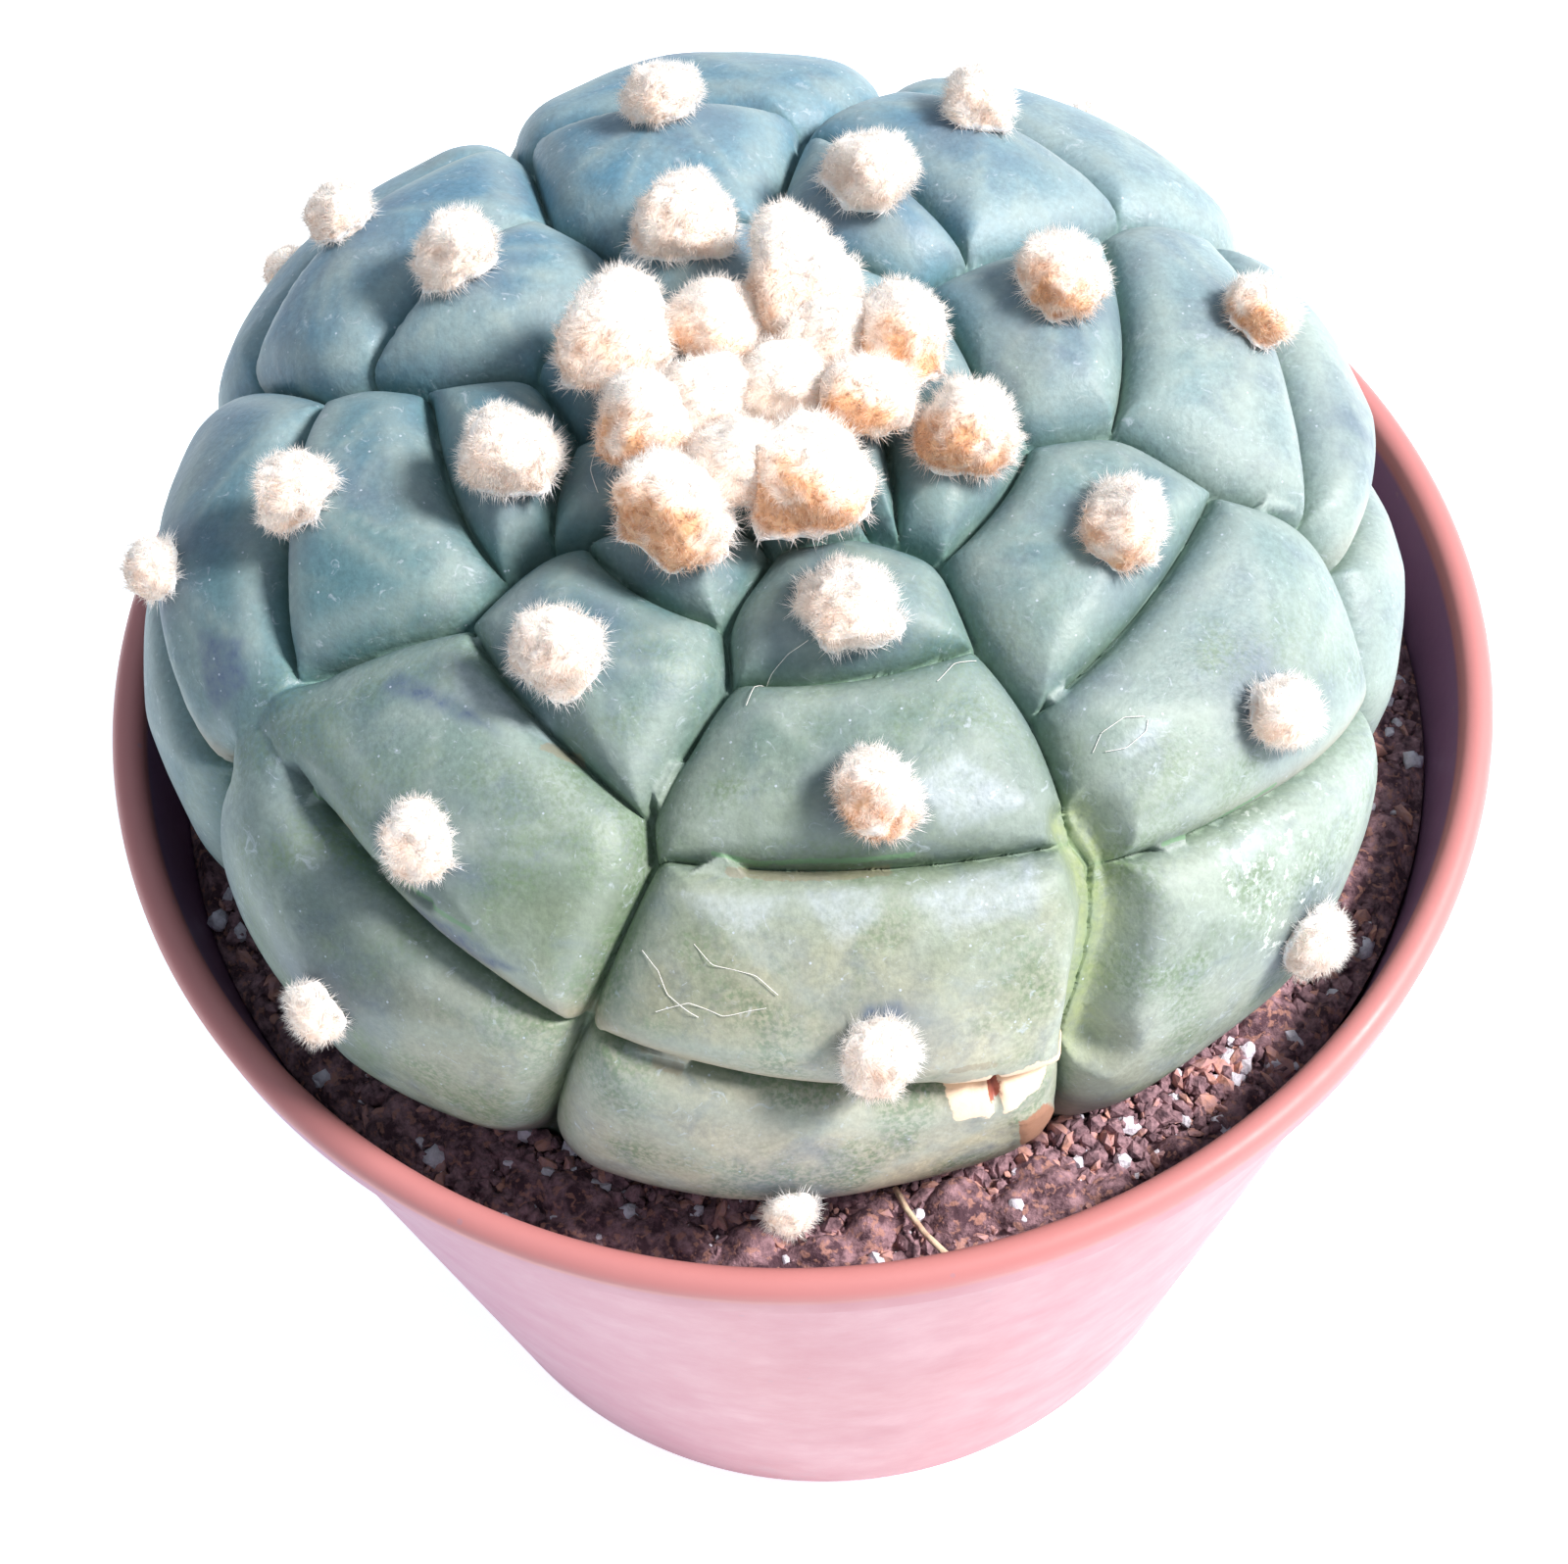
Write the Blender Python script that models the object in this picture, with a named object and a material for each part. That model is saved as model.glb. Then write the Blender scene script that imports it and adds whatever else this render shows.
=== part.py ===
"""Potted star cactus: a low eight-ribbed star cactus of the tortoise-shell kind, with woolly
areoles, standing in a filled round plastic nursery pot.

Metres, +Z up. The origin is the middle of the pot's foot, and the front faces -Y. Places on the
plant are given as degrees round its axis (0 at the front, positive towards +X) and as the
distance along its skin from the middle of the crown.
"""

import math
import random

import bmesh
import bpy
import numpy as np
from mathutils import Matrix, Vector

MM = 0.001
GAP = 0.3 * MM  # clearance between pieces that touch

# Pot
POT_HEIGHT = 65.8 * MM
POT_RIM_RADIUS = 42.5 * MM
POT_LIP_WIDTH = 2.0 * MM
POT_LIP_HEIGHT = 3.2 * MM
POT_LIP_TUCK = 0.3 * MM
POT_WALL = 1.1 * MM
POT_TOP_RADIUS = 41.3 * MM  # outside of the wall just under the lip
POT_FOOT_RADIUS = 29.8 * MM
POT_FOOT_ROUNDING = 1.4 * MM
POT_FOOT_RING_WIDTH = 3.4 * MM
POT_FOOT_RECESS = 1.6 * MM
POT_FLOOR = 1.4 * MM
POT_RECESS_TAPER = 0.5 * MM
POT_INSIDE_ROUNDING = 1.0 * MM
POT_SEGMENTS = 56
POT_LIP_STEPS = 6
POT_FOOT_STEPS = 3
POT_SHARP_ANGLE = 35  # degrees
DRAIN_HOLES = 6
DRAIN_HOLE_SEGMENTS = 16
DRAIN_HOLE_RADIUS = 3.0 * MM
DRILL_LENGTH = 10.0 * MM
DRAIN_RING_RADIUS = 19.0 * MM

# Body of the plant
PLANT_CENTRE = Vector((-0.7 * MM, 0.5 * MM))
GIRTH_HEIGHT = POT_HEIGHT + 5.5 * MM  # where the body is widest
BODY_RADIUS = 37.0 * MM
DOME_HEIGHT = 19.5 * MM
DOME_POWER = 2.4  # 2 would be an ellipse, more is flatter on top
FLANK_HEIGHT = 14.0 * MM
FLANK_TUCK = 0.12  # share of the radius lost at the foot of the flank
DOME_STEPS = 160
FLANK_STEPS = 30
# Buried base and taproot below the flank: radius and depth under the girth
BURIED_OUTLINE = ((31.0, 16.5), (26.0, 19.5), (17.0, 23.0), (9.0, 27.0), (5.5, 32.0),
                  (3.6, 39.0), (1.6, 47.0))
ROOT_TIP = 0.5 * MM
SLOPE_STEP = 0.3 * MM  # reach to each side over which the skin's slope is taken

# Areoles of each rib, from the crown outwards: (degrees round, millimetres along the skin)
RIBS = (
    ((13, 8.3), (12, 15.5), (9, 25.5), (5, 38.0), (-3, 50.0)),
    ((-30, 10.8), (-36, 20.0), (-39, 31.5), (-44, 43.5)),
    ((-59, 7.6), (-73, 14.5), (-82, 26.0), (-84, 35.5), (-88, 49.0)),
    ((-102, 8.1), (-123, 20.0), (-127, 30.0), (-131, 44.0)),
    ((-139, 4.0), (-161, 11.8), (-168, 23.5), (-172, 37.0), (-175, 50.0)),
    ((157, 5.3), (155, 15.5), (148, 25.5), (145, 42.0), (142, 52.5)),
    ((97, 7.5), (109, 17.5), (101, 28.5), (92, 36.5), (90, 49.0)),
    ((57, 6.1), (64, 11.2), (60, 21.0), (53, 33.0), (46, 45.5)),
)
# Middles of their segments: the furrows run half way between these
MIDDLES = (
    ((-2, 5.5), (3, 14.0), (4, 21.5), (2, 35.0), (-2, 47.5)),
    ((-23, 11.5), (-28, 16.5), (-40, 29.5), (-44, 41.5)),
    ((-64, 7.0), (-88, 16.0), (-84, 21.0), (-89, 34.5), (-88, 45.5)),
    ((-108, 8.0), (-121, 17.5), (-126, 26.5), (-131, 39.5)),
    ((-139, 3.5), (-162, 8.5), (-168, 19.5), (-176, 33.0), (-174, 45.0)),
    ((154, 5.0), (155, 17.5), (151, 20.0), (145, 37.0), (142, 48.5)),
    ((102, 7.0), (104, 16.0), (97, 25.5), (97, 38.0), (90, 45.5)),
    ((61, 5.5), (72, 8.0), (62, 20.0), (59, 28.0), (46, 47.0)),
)
# Rib and number of the areoles whose wool is gone
WORN_AREOLES = ((2, 4), (4, 3), (4, 4), (6, 3), (6, 4))
CROWN_REACH = 11.0 * MM  # areoles nearer than this belong to the wool of the crown
BOW = 1.0 * MM  # how far the cross furrows bow outwards in the middle of a rib
BOW_STARTS = (7.0 * MM, 15.0 * MM)

# Relief of the skin
FAR = 1.0  # a distance past any other here
LEAST_SPAN = 0.5 * MM
RIB_FURROW_DEPTH = 2.6 * MM
RIB_SHOULDER = 3.8 * MM  # width over which a segment rounds down into the furrow
CROSS_FURROW_DEPTH = 2.0 * MM
OUTER_SHOULDER = 3.4 * MM  # a segment rounds down to its outer neighbour
INNER_SHOULDER = 2.2 * MM  # and starts nearly level after its inner one
CROWN_PEAK = 1.3 * MM  # height of a segment at its areole near the crown
SEGMENT_PEAKS = (1.2, 1.6, 2.0, 2.0, 1.7, 1.5, 1.5, 1.3)  # and on each rib, millimetres
PEAK_CHANGE = (9.0 * MM, 16.0 * MM)
CORNER_ROUNDING = 0.55 * MM
FACET_ROUNDING = 0.03
FACET_SWELL = 1.15  # 1 is a plain pyramid up to the areole, more is fuller
CROWN_PLAIN = (2.0 * MM, 7.0 * MM)  # the relief grows between these distances
PEAK_ENDS = (50.0 * MM, 57.0 * MM)
FURROW_ENDS = (58.0 * MM, 63.0 * MM)
# Places where two segments have grown into one: degrees, millimetres along, reach
GROWN_OVER = ((-63, 34.5, 5.0), (28, 46.5, 3.0))
GROWN_CORE = 0.4  # share of that reach where no furrow is left
# Small plates wedged in where furrows meet: three corners, then depth under the plain body
PLATES = (
    (((35.0, 22.2), (40.5, 23.2), (36.0, 25.0)), 1.0),
    (((-21.0, 23.2), (-16.0, 22.9), (-17.5, 25.4)), 1.2),
    (((-57.0, 23.4), (-52.0, 21.2), (-50.5, 23.6)), 1.3),
    (((-31.0, 36.0), (-27.0, 34.0), (-25.0, 36.2)), 0.9),
    (((-13.5, 29.3), (-9.0, 27.7), (-6.0, 28.9)), 0.6),
    (((34.5, 33.0), (40.0, 34.4), (38.5, 36.2)), 1.0),
    (((78.0, 29.0), (84.0, 30.0), (80.0, 31.6)), 1.0),
    (((-58.0, 33.2), (-54.0, 33.0), (-54.5, 35.4)), 0.5),
    (((-17.0, 39.6), (-11.0, 39.6), (-12.5, 42.2)), 0.9),
)
PLATE_SLOPE = 4.0
PLATE_ROUNDING = 0.15 * MM
# Open valley between the ribs at the right of the front: places along its bottom
VALLEY = ((30, 30.6), (30, 32.6), (29, 35.4), (26, 38.9), (24, 42.4), (24, 44.5))
VALLEY_DEPTH = 2.4 * MM
VALLEY_HALF_WIDTH = 0.9 * MM
VALLEY_SLOPE = 1.6
# The right side is flatter than a circle: middle and reach in degrees, then depth
FLATTER_SIDE = (88, 38)
FLATTER_BY = 1.2 * MM
FLATTER_FROM = (25.0 * MM, 40.0 * MM)
SKIN_COLUMNS = 416
SKIN_ROW = 0.45 * MM
SKIN_KEEP = 0.055

# Wool
TUFT_SIZE_CROWN = 2.95 * MM  # half width of a tuft near the crown
TUFT_SIZE_OUTER = 2.15 * MM
TUFT_SIZE_ENDS = (8 * MM, 32 * MM)  # tufts shrink between these distances
# Tufts unlike the rest, by rib and number: share of the usual size
GROWTH = {(0, 0): 1.1, (0, 1): 1.05, (0, 4): 0.7, (1, 0): 1.15, (1, 3): 0.85, (2, 3): 0.85,
          (3, 0): 1.05, (3, 3): 0.75, (4, 0): 0.85, (4, 1): 1.1, (5, 0): 1.1, (5, 3): 0.75,
          (6, 0): 0.92, (7, 0): 0.85}
TUFT_FLATTEN = 0.85
TUFT_LIFT = 0.9 * MM  # height of a tuft's middle over the skin
YOUNG_TUFT_LIFT = 1.7 * MM
TUFT_ROUGHNESS = 0.09
TUFT_SEED = 8
YOUNG_SEED = 3
# Tufts in the middle of the crown, too young to belong to a rib yet
CROWN_TUFTS = ((-58, 4.0), (32, 1.7), (114, 3.9), (-15, 7.0))
CROWN_TUFT_GROWTH = 0.9
CROWN_CORE_RADIUS = 6.0 * MM
CROWN_CORE_HEIGHT = 3.6 * MM
WOOL_SEAT = 0.35 * MM
WOOL_SEAT_REACH = 20 * MM
WOOL_SEAT_STEP = 2 * MM
WOOL_SEAT_COLUMNS = 40

# Soil
SOIL_TOP = POT_HEIGHT - 7.0 * MM
SOIL_WAVES = 2  # slow swells in the soil round the pot
SOIL_WAVE_HEIGHT = 0.6 * MM
SOIL_WAVE_START = 40  # degrees
SOIL_FALL = 0.5 * MM  # lower at the pot's wall than at the plant
SOIL_COLUMNS = 224
SOIL_TOP_ROWS = 13
SOIL_EDGE = 0.15  # share of the width over which crumbs die away at each edge
SOIL_KEEP = 0.27
GRIT_SEED = 21
GRIT_COUNT = 240
GRIT_RING = (34.5 * MM, 40.5 * MM)
GRIT_RADIUS = (1.0 * MM, 2.1 * MM)
GRIT_HEIGHT = (0.6 * MM, 1.9 * MM)


def clear_scene():
    for item in list(bpy.data.objects):
        bpy.data.objects.remove(item, do_unlink=True)


def material(name, colour, roughness):
    made = bpy.data.materials.new(name)
    made.use_nodes = True
    shader = made.node_tree.nodes["Principled BSDF"]
    shader.inputs["Base Color"].default_value = (*colour, 1.0)
    shader.inputs["Roughness"].default_value = roughness
    shader.inputs["Metallic"].default_value = 0.0
    return made


def object_from_bmesh(name, mesh_in_work, surface=None):
    mesh = bpy.data.meshes.new(name)
    mesh_in_work.to_mesh(mesh)
    mesh_in_work.free()
    made = bpy.data.objects.new(name, mesh)
    bpy.context.scene.collection.objects.link(made)
    if surface is not None:
        mesh.materials.append(surface)
    return made


def ring_surface(rings, first_pole, last_pole):
    """Closed bmesh skin over rings of points, all with as many points, between two poles."""
    work = bmesh.new()
    rows = [[work.verts.new(point) for point in ring] for ring in rings]
    count = len(rows[0])
    start = work.verts.new(first_pole)
    end = work.verts.new(last_pole)
    for i in range(count):
        j = (i + 1) % count
        work.faces.new((start, rows[0][i], rows[0][j]))
        work.faces.new((end, rows[-1][j], rows[-1][i]))
        for upper, lower in zip(rows, rows[1:]):
            work.faces.new((upper[i], lower[i], lower[j], upper[j]))
    bmesh.ops.recalc_face_normals(work, faces=work.faces)
    return work


def apply_modifiers(target):
    """Make the mesh what its modifiers show, and take them off."""
    graph = bpy.context.evaluated_depsgraph_get()
    result = bpy.data.meshes.new_from_object(target.evaluated_get(graph))
    target.modifiers.clear()
    old = target.data
    target.data = result
    bpy.data.meshes.remove(old)


def combine(target, others, operation):
    """One Boolean of the target with a collection of others, applied, which removes them."""
    group = bpy.data.collections.new(target.name + "_others")
    for other in others:
        group.objects.link(other)
    cut = target.modifiers.new("combine", "BOOLEAN")
    cut.operation = operation
    cut.solver = "EXACT"
    cut.operand_type = "COLLECTION"
    cut.collection = group
    apply_modifiers(target)
    for other in others:
        bpy.data.objects.remove(other, do_unlink=True)
    bpy.data.collections.remove(group)


def thin_out(target, keep):
    """Fewer faces where the surface is smooth."""
    fewer = target.modifiers.new("fewer", "DECIMATE")
    fewer.ratio = keep
    apply_modifiers(target)


def smooth_step(low, high, value):
    t = np.clip((value - low) / (high - low), 0.0, 1.0)
    return t * t * (3.0 - 2.0 * t)


def soft_least(values, blend):
    """Smooth least of the last axis, which rounds the corners between its branches."""
    least = values.min(axis=-1, keepdims=True)
    total = np.exp(-(values - least) / blend).sum(axis=-1)
    return least[..., 0] - blend * np.log(total)


def shoulder(distance):
    """Share of a furrow's depth at a distance from its crease, where 1 is out on the level."""
    inwards = 1.0 - np.clip(distance, 0.0, 1.0)
    return 1.0 - np.sqrt(1.0 - inwards**2)


def body_outline():
    """Half section of the plant, crown to root tip: distance along the skin, radius, height."""
    turn = np.linspace(math.pi / 2, 0.0, DOME_STEPS)
    radius = BODY_RADIUS * np.cos(turn) ** (2 / DOME_POWER)
    height = DOME_HEIGHT * np.sin(turn) ** (2 / DOME_POWER)
    radius[0] = 0.0
    down = np.linspace(0.0, -FLANK_HEIGHT, FLANK_STEPS)[1:]
    flank = BODY_RADIUS * (1 - FLANK_TUCK * (down / FLANK_HEIGHT) ** 2)
    buried = np.array(BURIED_OUTLINE) * MM
    radius = np.concatenate((radius, flank, buried[:, 0]))
    height = np.concatenate((height, down, -buried[:, 1]))
    along = np.concatenate(([0.0], np.cumsum(np.hypot(np.diff(radius), np.diff(height)))))
    return along, radius, height


OUTLINE = body_outline()


def section(along):
    """Radius and height over the girth of the plain body at distances along its skin."""
    distances, radii, heights = OUTLINE
    return np.interp(along, distances, radii), np.interp(along, distances, heights)


def on_skin(along, degrees):
    """Points on the plain body and the normals there, for arrays of places."""
    radius, height = section(along)
    radius_before, height_before = section(np.maximum(along - SLOPE_STEP, 0.0))
    radius_after, height_after = section(along + SLOPE_STEP)
    rise = height_after - height_before
    run = radius_after - radius_before
    length = np.hypot(rise, run)
    outward, upward = -rise / length, run / length
    angle = np.radians(degrees)
    east, south = np.sin(angle), np.cos(angle)
    points = np.stack((PLANT_CENTRE.x + radius * east, PLANT_CENTRE.y - radius * south,
                       GIRTH_HEIGHT + height), axis=-1)
    normals = np.stack((outward * east, -outward * south, upward), axis=-1)
    return points, normals


def bowed(along, degrees):
    """Distances along the skin as the cross furrows take them, so that they bow outwards."""
    crests = []
    for row in RIBS:
        places = np.array(row, float)
        crests.append(np.interp(along, places[:, 1] * MM,
                                np.degrees(np.unwrap(np.radians(places[:, 0])))))
    turn = np.abs((degrees - np.array(crests) + 180) % 360 - 180)
    nearest = np.sort(turn, axis=0)
    share = 2 * nearest[0] / (nearest[0] + nearest[1])
    grown = smooth_step(*BOW_STARTS, along) * (1 - smooth_step(*FURROW_ENDS, along))
    return along + BOW * (share**2 - 0.5) * grown


def segments():
    """Middle of each segment, its areole, its rib and its distance from the crown."""
    table = np.array([(rib, *middle, *areole) for rib, (middles, areoles)
                      in enumerate(zip(MIDDLES, RIBS)) for middle, areole in zip(middles, areoles)])
    middles = on_skin(table[:, 2] * MM, table[:, 1])[0]
    areoles = on_skin(bowed(table[:, 4] * MM, table[:, 3]), table[:, 3])[0]
    return middles, areoles, table[:, 0].astype(int), table[:, 2] * MM


def wall_distances(points, own, middles):
    """Distance from each point to the wall between its own segment and every other one."""
    squares = ((points[:, None, :] - middles[None, :, :]) ** 2).sum(axis=2)
    mine = np.take_along_axis(squares, own[:, None], axis=1)
    spans = np.linalg.norm(middles[:, None, :] - middles[None, :, :], axis=2)
    np.fill_diagonal(spans, 1.0)
    return (squares - mine) / (2 * spans[own])


def plate_reach(points, corners):
    """Distance outside a flat plate with three corners on the skin, less than 0 inside it."""
    table = np.array(corners)
    spots = on_skin(table[:, 1] * MM, table[:, 0])[0]
    middle = spots.mean(axis=0)
    facing = np.cross(spots[1] - spots[0], spots[2] - spots[0])
    reach = np.full(len(points), -FAR)
    for start, end in zip(spots, np.roll(spots, -1, axis=0)):
        out = np.cross(end - start, facing)
        out *= np.sign((start - middle) @ out) / np.linalg.norm(out)
        reach = np.maximum(reach, (points - start) @ out)
    return reach


def line_distance(points, places):
    """Distance from points to a line through places on the skin."""
    table = np.array(places, float)
    line = on_skin(table[:, 1] * MM, table[:, 0])[0]
    nearest = np.full(len(points), FAR)
    for start, end in zip(line, line[1:]):
        way = end - start
        share = np.clip((points - start) @ way / (way @ way), 0.0, 1.0)
        away = np.linalg.norm(points - start - share[:, None] * way, axis=1)
        nearest = np.minimum(nearest, away)
    return nearest


def grown_over(points):
    """1 where two segments have grown together and their furrow is gone, 0 elsewhere."""
    gone = np.zeros(len(points))
    for degrees, along, reach in GROWN_OVER:
        spot = on_skin(np.array([along * MM]), np.array([float(degrees)]))[0]
        away = np.linalg.norm(points - spot, axis=1)
        gone = np.maximum(gone, 1 - smooth_step(GROWN_CORE * reach * MM, reach * MM, away))
    return gone


def peak_height(rib, along):
    """Height of a rib's segments at their areoles, the same for all ribs near the crown."""
    share = smooth_step(*PEAK_CHANGE, along)
    tall = CROWN_PEAK * (1 - share) + np.array(SEGMENT_PEAKS)[rib] * MM * share
    return tall * smooth_step(*CROWN_PLAIN, along) * (1 - smooth_step(*PEAK_ENDS, along))


def flatter_side(along, degrees):
    """How far the right side lies inside the round outline."""
    middle, reach = FLATTER_SIDE
    turn = np.abs((degrees - middle + 180) % 360 - 180)
    outwards = smooth_step(*FLATTER_FROM, along) * (1 - smooth_step(*FURROW_ENDS, along))
    return FLATTER_BY * (1 - smooth_step(0.0, reach, turn)) * outwards


def relief(points, along, degrees):
    """Height of the skin over the plain body: faceted segments between creased furrows."""
    middles, areoles, ribs, outwards = segments()
    bent = on_skin(bowed(along, degrees), degrees)[0]
    own = ((bent[:, None, :] - middles[None, :, :]) ** 2).sum(axis=2).argmin(axis=1)
    walls = wall_distances(bent, own, middles)
    same_rib = ribs[own][:, None] == ribs[None, :]
    itself = own[:, None] == np.arange(len(middles))[None, :]
    outer = outwards[None, :] > outwards[own][:, None]
    to_rib = soft_least(np.where(same_rib, FAR, walls), CORNER_ROUNDING)
    to_outer = soft_least(np.where(same_rib & outer, walls, FAR), CORNER_ROUNDING)
    to_inner = soft_least(np.where(same_rib & ~outer & ~itself, walls, FAR), CORNER_ROUNDING)
    rib_furrow = RIB_FURROW_DEPTH * shoulder(to_rib / RIB_SHOULDER)
    cross_furrow = CROSS_FURROW_DEPTH * np.maximum(shoulder(to_outer / OUTER_SHOULDER),
                                                   shoulder(to_inner / INNER_SHOULDER))
    peaks = wall_distances(areoles, np.arange(len(middles)), middles)[own]
    share = np.where(itself, FAR / LEAST_SPAN, walls / np.maximum(peaks, LEAST_SPAN))
    facet = np.clip(soft_least(share, FACET_ROUNDING), 0.0, 1.0)
    open_furrow = (1 - smooth_step(*FURROW_ENDS, along)) * (1 - grown_over(points))
    furrows = np.maximum(rib_furrow, cross_furrow) * open_furrow * smooth_step(*CROWN_PLAIN, along)
    swelling = 1.0 - (1.0 - facet) ** FACET_SWELL
    height = peak_height(ribs[own], along) * swelling - furrows
    for corners, depth in PLATES:
        plate = -depth * MM - PLATE_SLOPE * np.maximum(plate_reach(points, corners), 0.0)
        height = -soft_least(np.stack((-height, -plate), axis=-1), PLATE_ROUNDING)
    from_bottom = np.maximum(line_distance(points, VALLEY) - VALLEY_HALF_WIDTH, 0.0)
    height = np.minimum(height, VALLEY_SLOPE * from_bottom - VALLEY_DEPTH)
    return height - flatter_side(along, degrees)


def skin_rings(along, columns, height_rule):
    """Rings at distances from the crown, raised over the plain body by a rule."""
    degrees = np.linspace(0.0, 360.0, columns, endpoint=False)
    grid_along, grid_degrees = (grid.ravel() for grid in np.meshgrid(along, degrees, indexing="ij"))
    points, normals = on_skin(grid_along, grid_degrees)
    height = height_rule(points, grid_along, grid_degrees)
    return (points + normals * height[:, None]).reshape(len(along), columns, 3)


def wool_seat(_points, along, _degrees):
    """Height of the wool's underside: just clear of the highest that the skin comes."""
    highest = np.full(len(along), int(np.argmax(SEGMENT_PEAKS)))
    return WOOL_SEAT + peak_height(highest, along)


def axis_point(height):
    return (PLANT_CENTRE.x, PLANT_CENTRE.y, height)


def lumpy_tuft(name, along, degrees, lift, growth, chance):
    """A low woolly ball with its middle lifted over the plain body."""
    points, normals = on_skin(np.array([along]), np.array([float(degrees)]))
    place, normal = Vector(points[0]), Vector(normals[0])
    size = growth * float(np.interp(along, TUFT_SIZE_ENDS, (TUFT_SIZE_CROWN, TUFT_SIZE_OUTER)))
    work = bmesh.new()
    bmesh.ops.create_icosphere(work, subdivisions=2, radius=size)
    for vert in work.verts:
        vert.co *= 1 + chance.uniform(-TUFT_ROUGHNESS, TUFT_ROUGHNESS)
        vert.co.z *= TUFT_FLATTEN
    turn = normal.to_track_quat("Z", "Y").to_matrix().to_4x4()
    spin = Matrix.Rotation(chance.uniform(0, math.tau), 4, "Z")
    work.transform(Matrix.Translation(place + normal * lift) @ turn @ spin)
    return object_from_bmesh(name, work)


def make_cactus(surface):
    """The body with its segments, buried base and taproot, and each areole's tuft fused on."""
    shown = np.arange(SKIN_ROW, FURROW_ENDS[1], SKIN_ROW)
    buried = OUTLINE[0][-len(BURIED_OUTLINE):]
    rings = skin_rings(np.concatenate((shown, buried)), SKIN_COLUMNS, relief)
    crown = axis_point(GIRTH_HEIGHT + DOME_HEIGHT)
    tip = axis_point(GIRTH_HEIGHT + OUTLINE[2][-1] - ROOT_TIP)
    cactus = object_from_bmesh("cactus", ring_surface(rings, crown, tip), surface)
    thin_out(cactus, SKIN_KEEP)
    chance = random.Random(TUFT_SEED)
    tufts = []
    for rib, row in enumerate(RIBS):
        for number, (degrees, along_mm) in enumerate(row):
            along = along_mm * MM
            if along > CROWN_REACH and (rib, number) not in WORN_AREOLES:
                place = np.array([along]), np.array([float(degrees)])
                lift = TUFT_LIFT + float(relief(on_skin(*place)[0], *place)[0])
                growth = GROWTH.get((rib, number), 1.0)
                tufts.append(lumpy_tuft(f"tuft_{rib}_{number}", along, degrees, lift, growth,
                                        chance))
    combine(cactus, tufts, "UNION")
    cactus.data.shade_smooth()
    return cactus


def make_crown_wool(surface):
    """The crowded young tufts of the crown, grown into one cushion that sits on the skin."""
    chance = random.Random(YOUNG_SEED)
    work = bmesh.new()
    bmesh.ops.create_icosphere(work, subdivisions=2, radius=CROWN_CORE_RADIUS)
    for vert in work.verts:
        vert.co.z *= CROWN_CORE_HEIGHT / CROWN_CORE_RADIUS
    top = Vector(axis_point(GIRTH_HEIGHT + DOME_HEIGHT))
    work.transform(Matrix.Translation(top))
    wool = object_from_bmesh("crown_wool", work, surface)
    young = [(rib, GROWTH.get((rib, number), 1.0), *place) for rib, row in enumerate(RIBS)
             for number, place in enumerate(row) if place[1] * MM < CROWN_REACH]
    young += [(0, CROWN_TUFT_GROWTH, *place) for place in CROWN_TUFTS]
    tufts = [lumpy_tuft(f"young_{i}", along * MM, degrees,
                        YOUNG_TUFT_LIFT + float(peak_height(rib, along * MM)), growth, chance)
             for i, (rib, growth, degrees, along) in enumerate(young)]
    combine(wool, tufts, "UNION")
    steps = np.arange(WOOL_SEAT_STEP, WOOL_SEAT_REACH, WOOL_SEAT_STEP)
    rings = skin_rings(steps, WOOL_SEAT_COLUMNS, wool_seat)
    crown = axis_point(GIRTH_HEIGHT + DOME_HEIGHT + WOOL_SEAT)
    below = axis_point(GIRTH_HEIGHT)
    cutter = object_from_bmesh("wool_seat", ring_surface(rings, crown, below))
    combine(wool, [cutter], "DIFFERENCE")
    wool.data.shade_smooth()
    return wool


def pot_wall_radius(height):
    """Outside radius of the tapered wall."""
    return np.interp(height, (0.0, POT_HEIGHT - POT_LIP_HEIGHT), (POT_FOOT_RADIUS, POT_TOP_RADIUS))


def pot_outline():
    """Closed half section of the pot: round the lip, down the outside, and up the inside."""
    lip = POT_LIP_WIDTH / 2
    lip_middle = POT_RIM_RADIUS - lip
    points = []
    for i in range(POT_LIP_STEPS + 1):
        turn = math.pi * i / POT_LIP_STEPS
        points.append((lip_middle - lip * math.cos(turn), POT_HEIGHT - lip + lip * math.sin(turn)))
    under_lip = POT_HEIGHT - POT_LIP_HEIGHT
    points.append((POT_RIM_RADIUS - POT_LIP_TUCK, under_lip))
    points.append((float(pot_wall_radius(under_lip)), under_lip - POT_LIP_TUCK / 2))
    rounding = POT_FOOT_ROUNDING
    foot = float(pot_wall_radius(rounding))
    for i in range(POT_FOOT_STEPS + 1):
        turn = math.pi / 2 * i / POT_FOOT_STEPS
        points.append((foot - rounding * (1 - math.cos(turn)), rounding * (1 - math.sin(turn))))
    ring_inside = foot - rounding - POT_FOOT_RING_WIDTH
    points.append((ring_inside, 0.0))
    points.append((ring_inside - POT_RECESS_TAPER, POT_FOOT_RECESS))
    points.append((0.0, POT_FOOT_RECESS))
    floor = POT_FOOT_RECESS + POT_FLOOR
    points.append((0.0, floor))
    corner = floor + POT_INSIDE_ROUNDING
    points.append((float(pot_wall_radius(floor)) - POT_WALL - POT_INSIDE_ROUNDING, floor))
    points.append((float(pot_wall_radius(corner)) - POT_WALL, corner))
    points.append((float(pot_wall_radius(under_lip)) - POT_WALL, under_lip))
    return points


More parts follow.
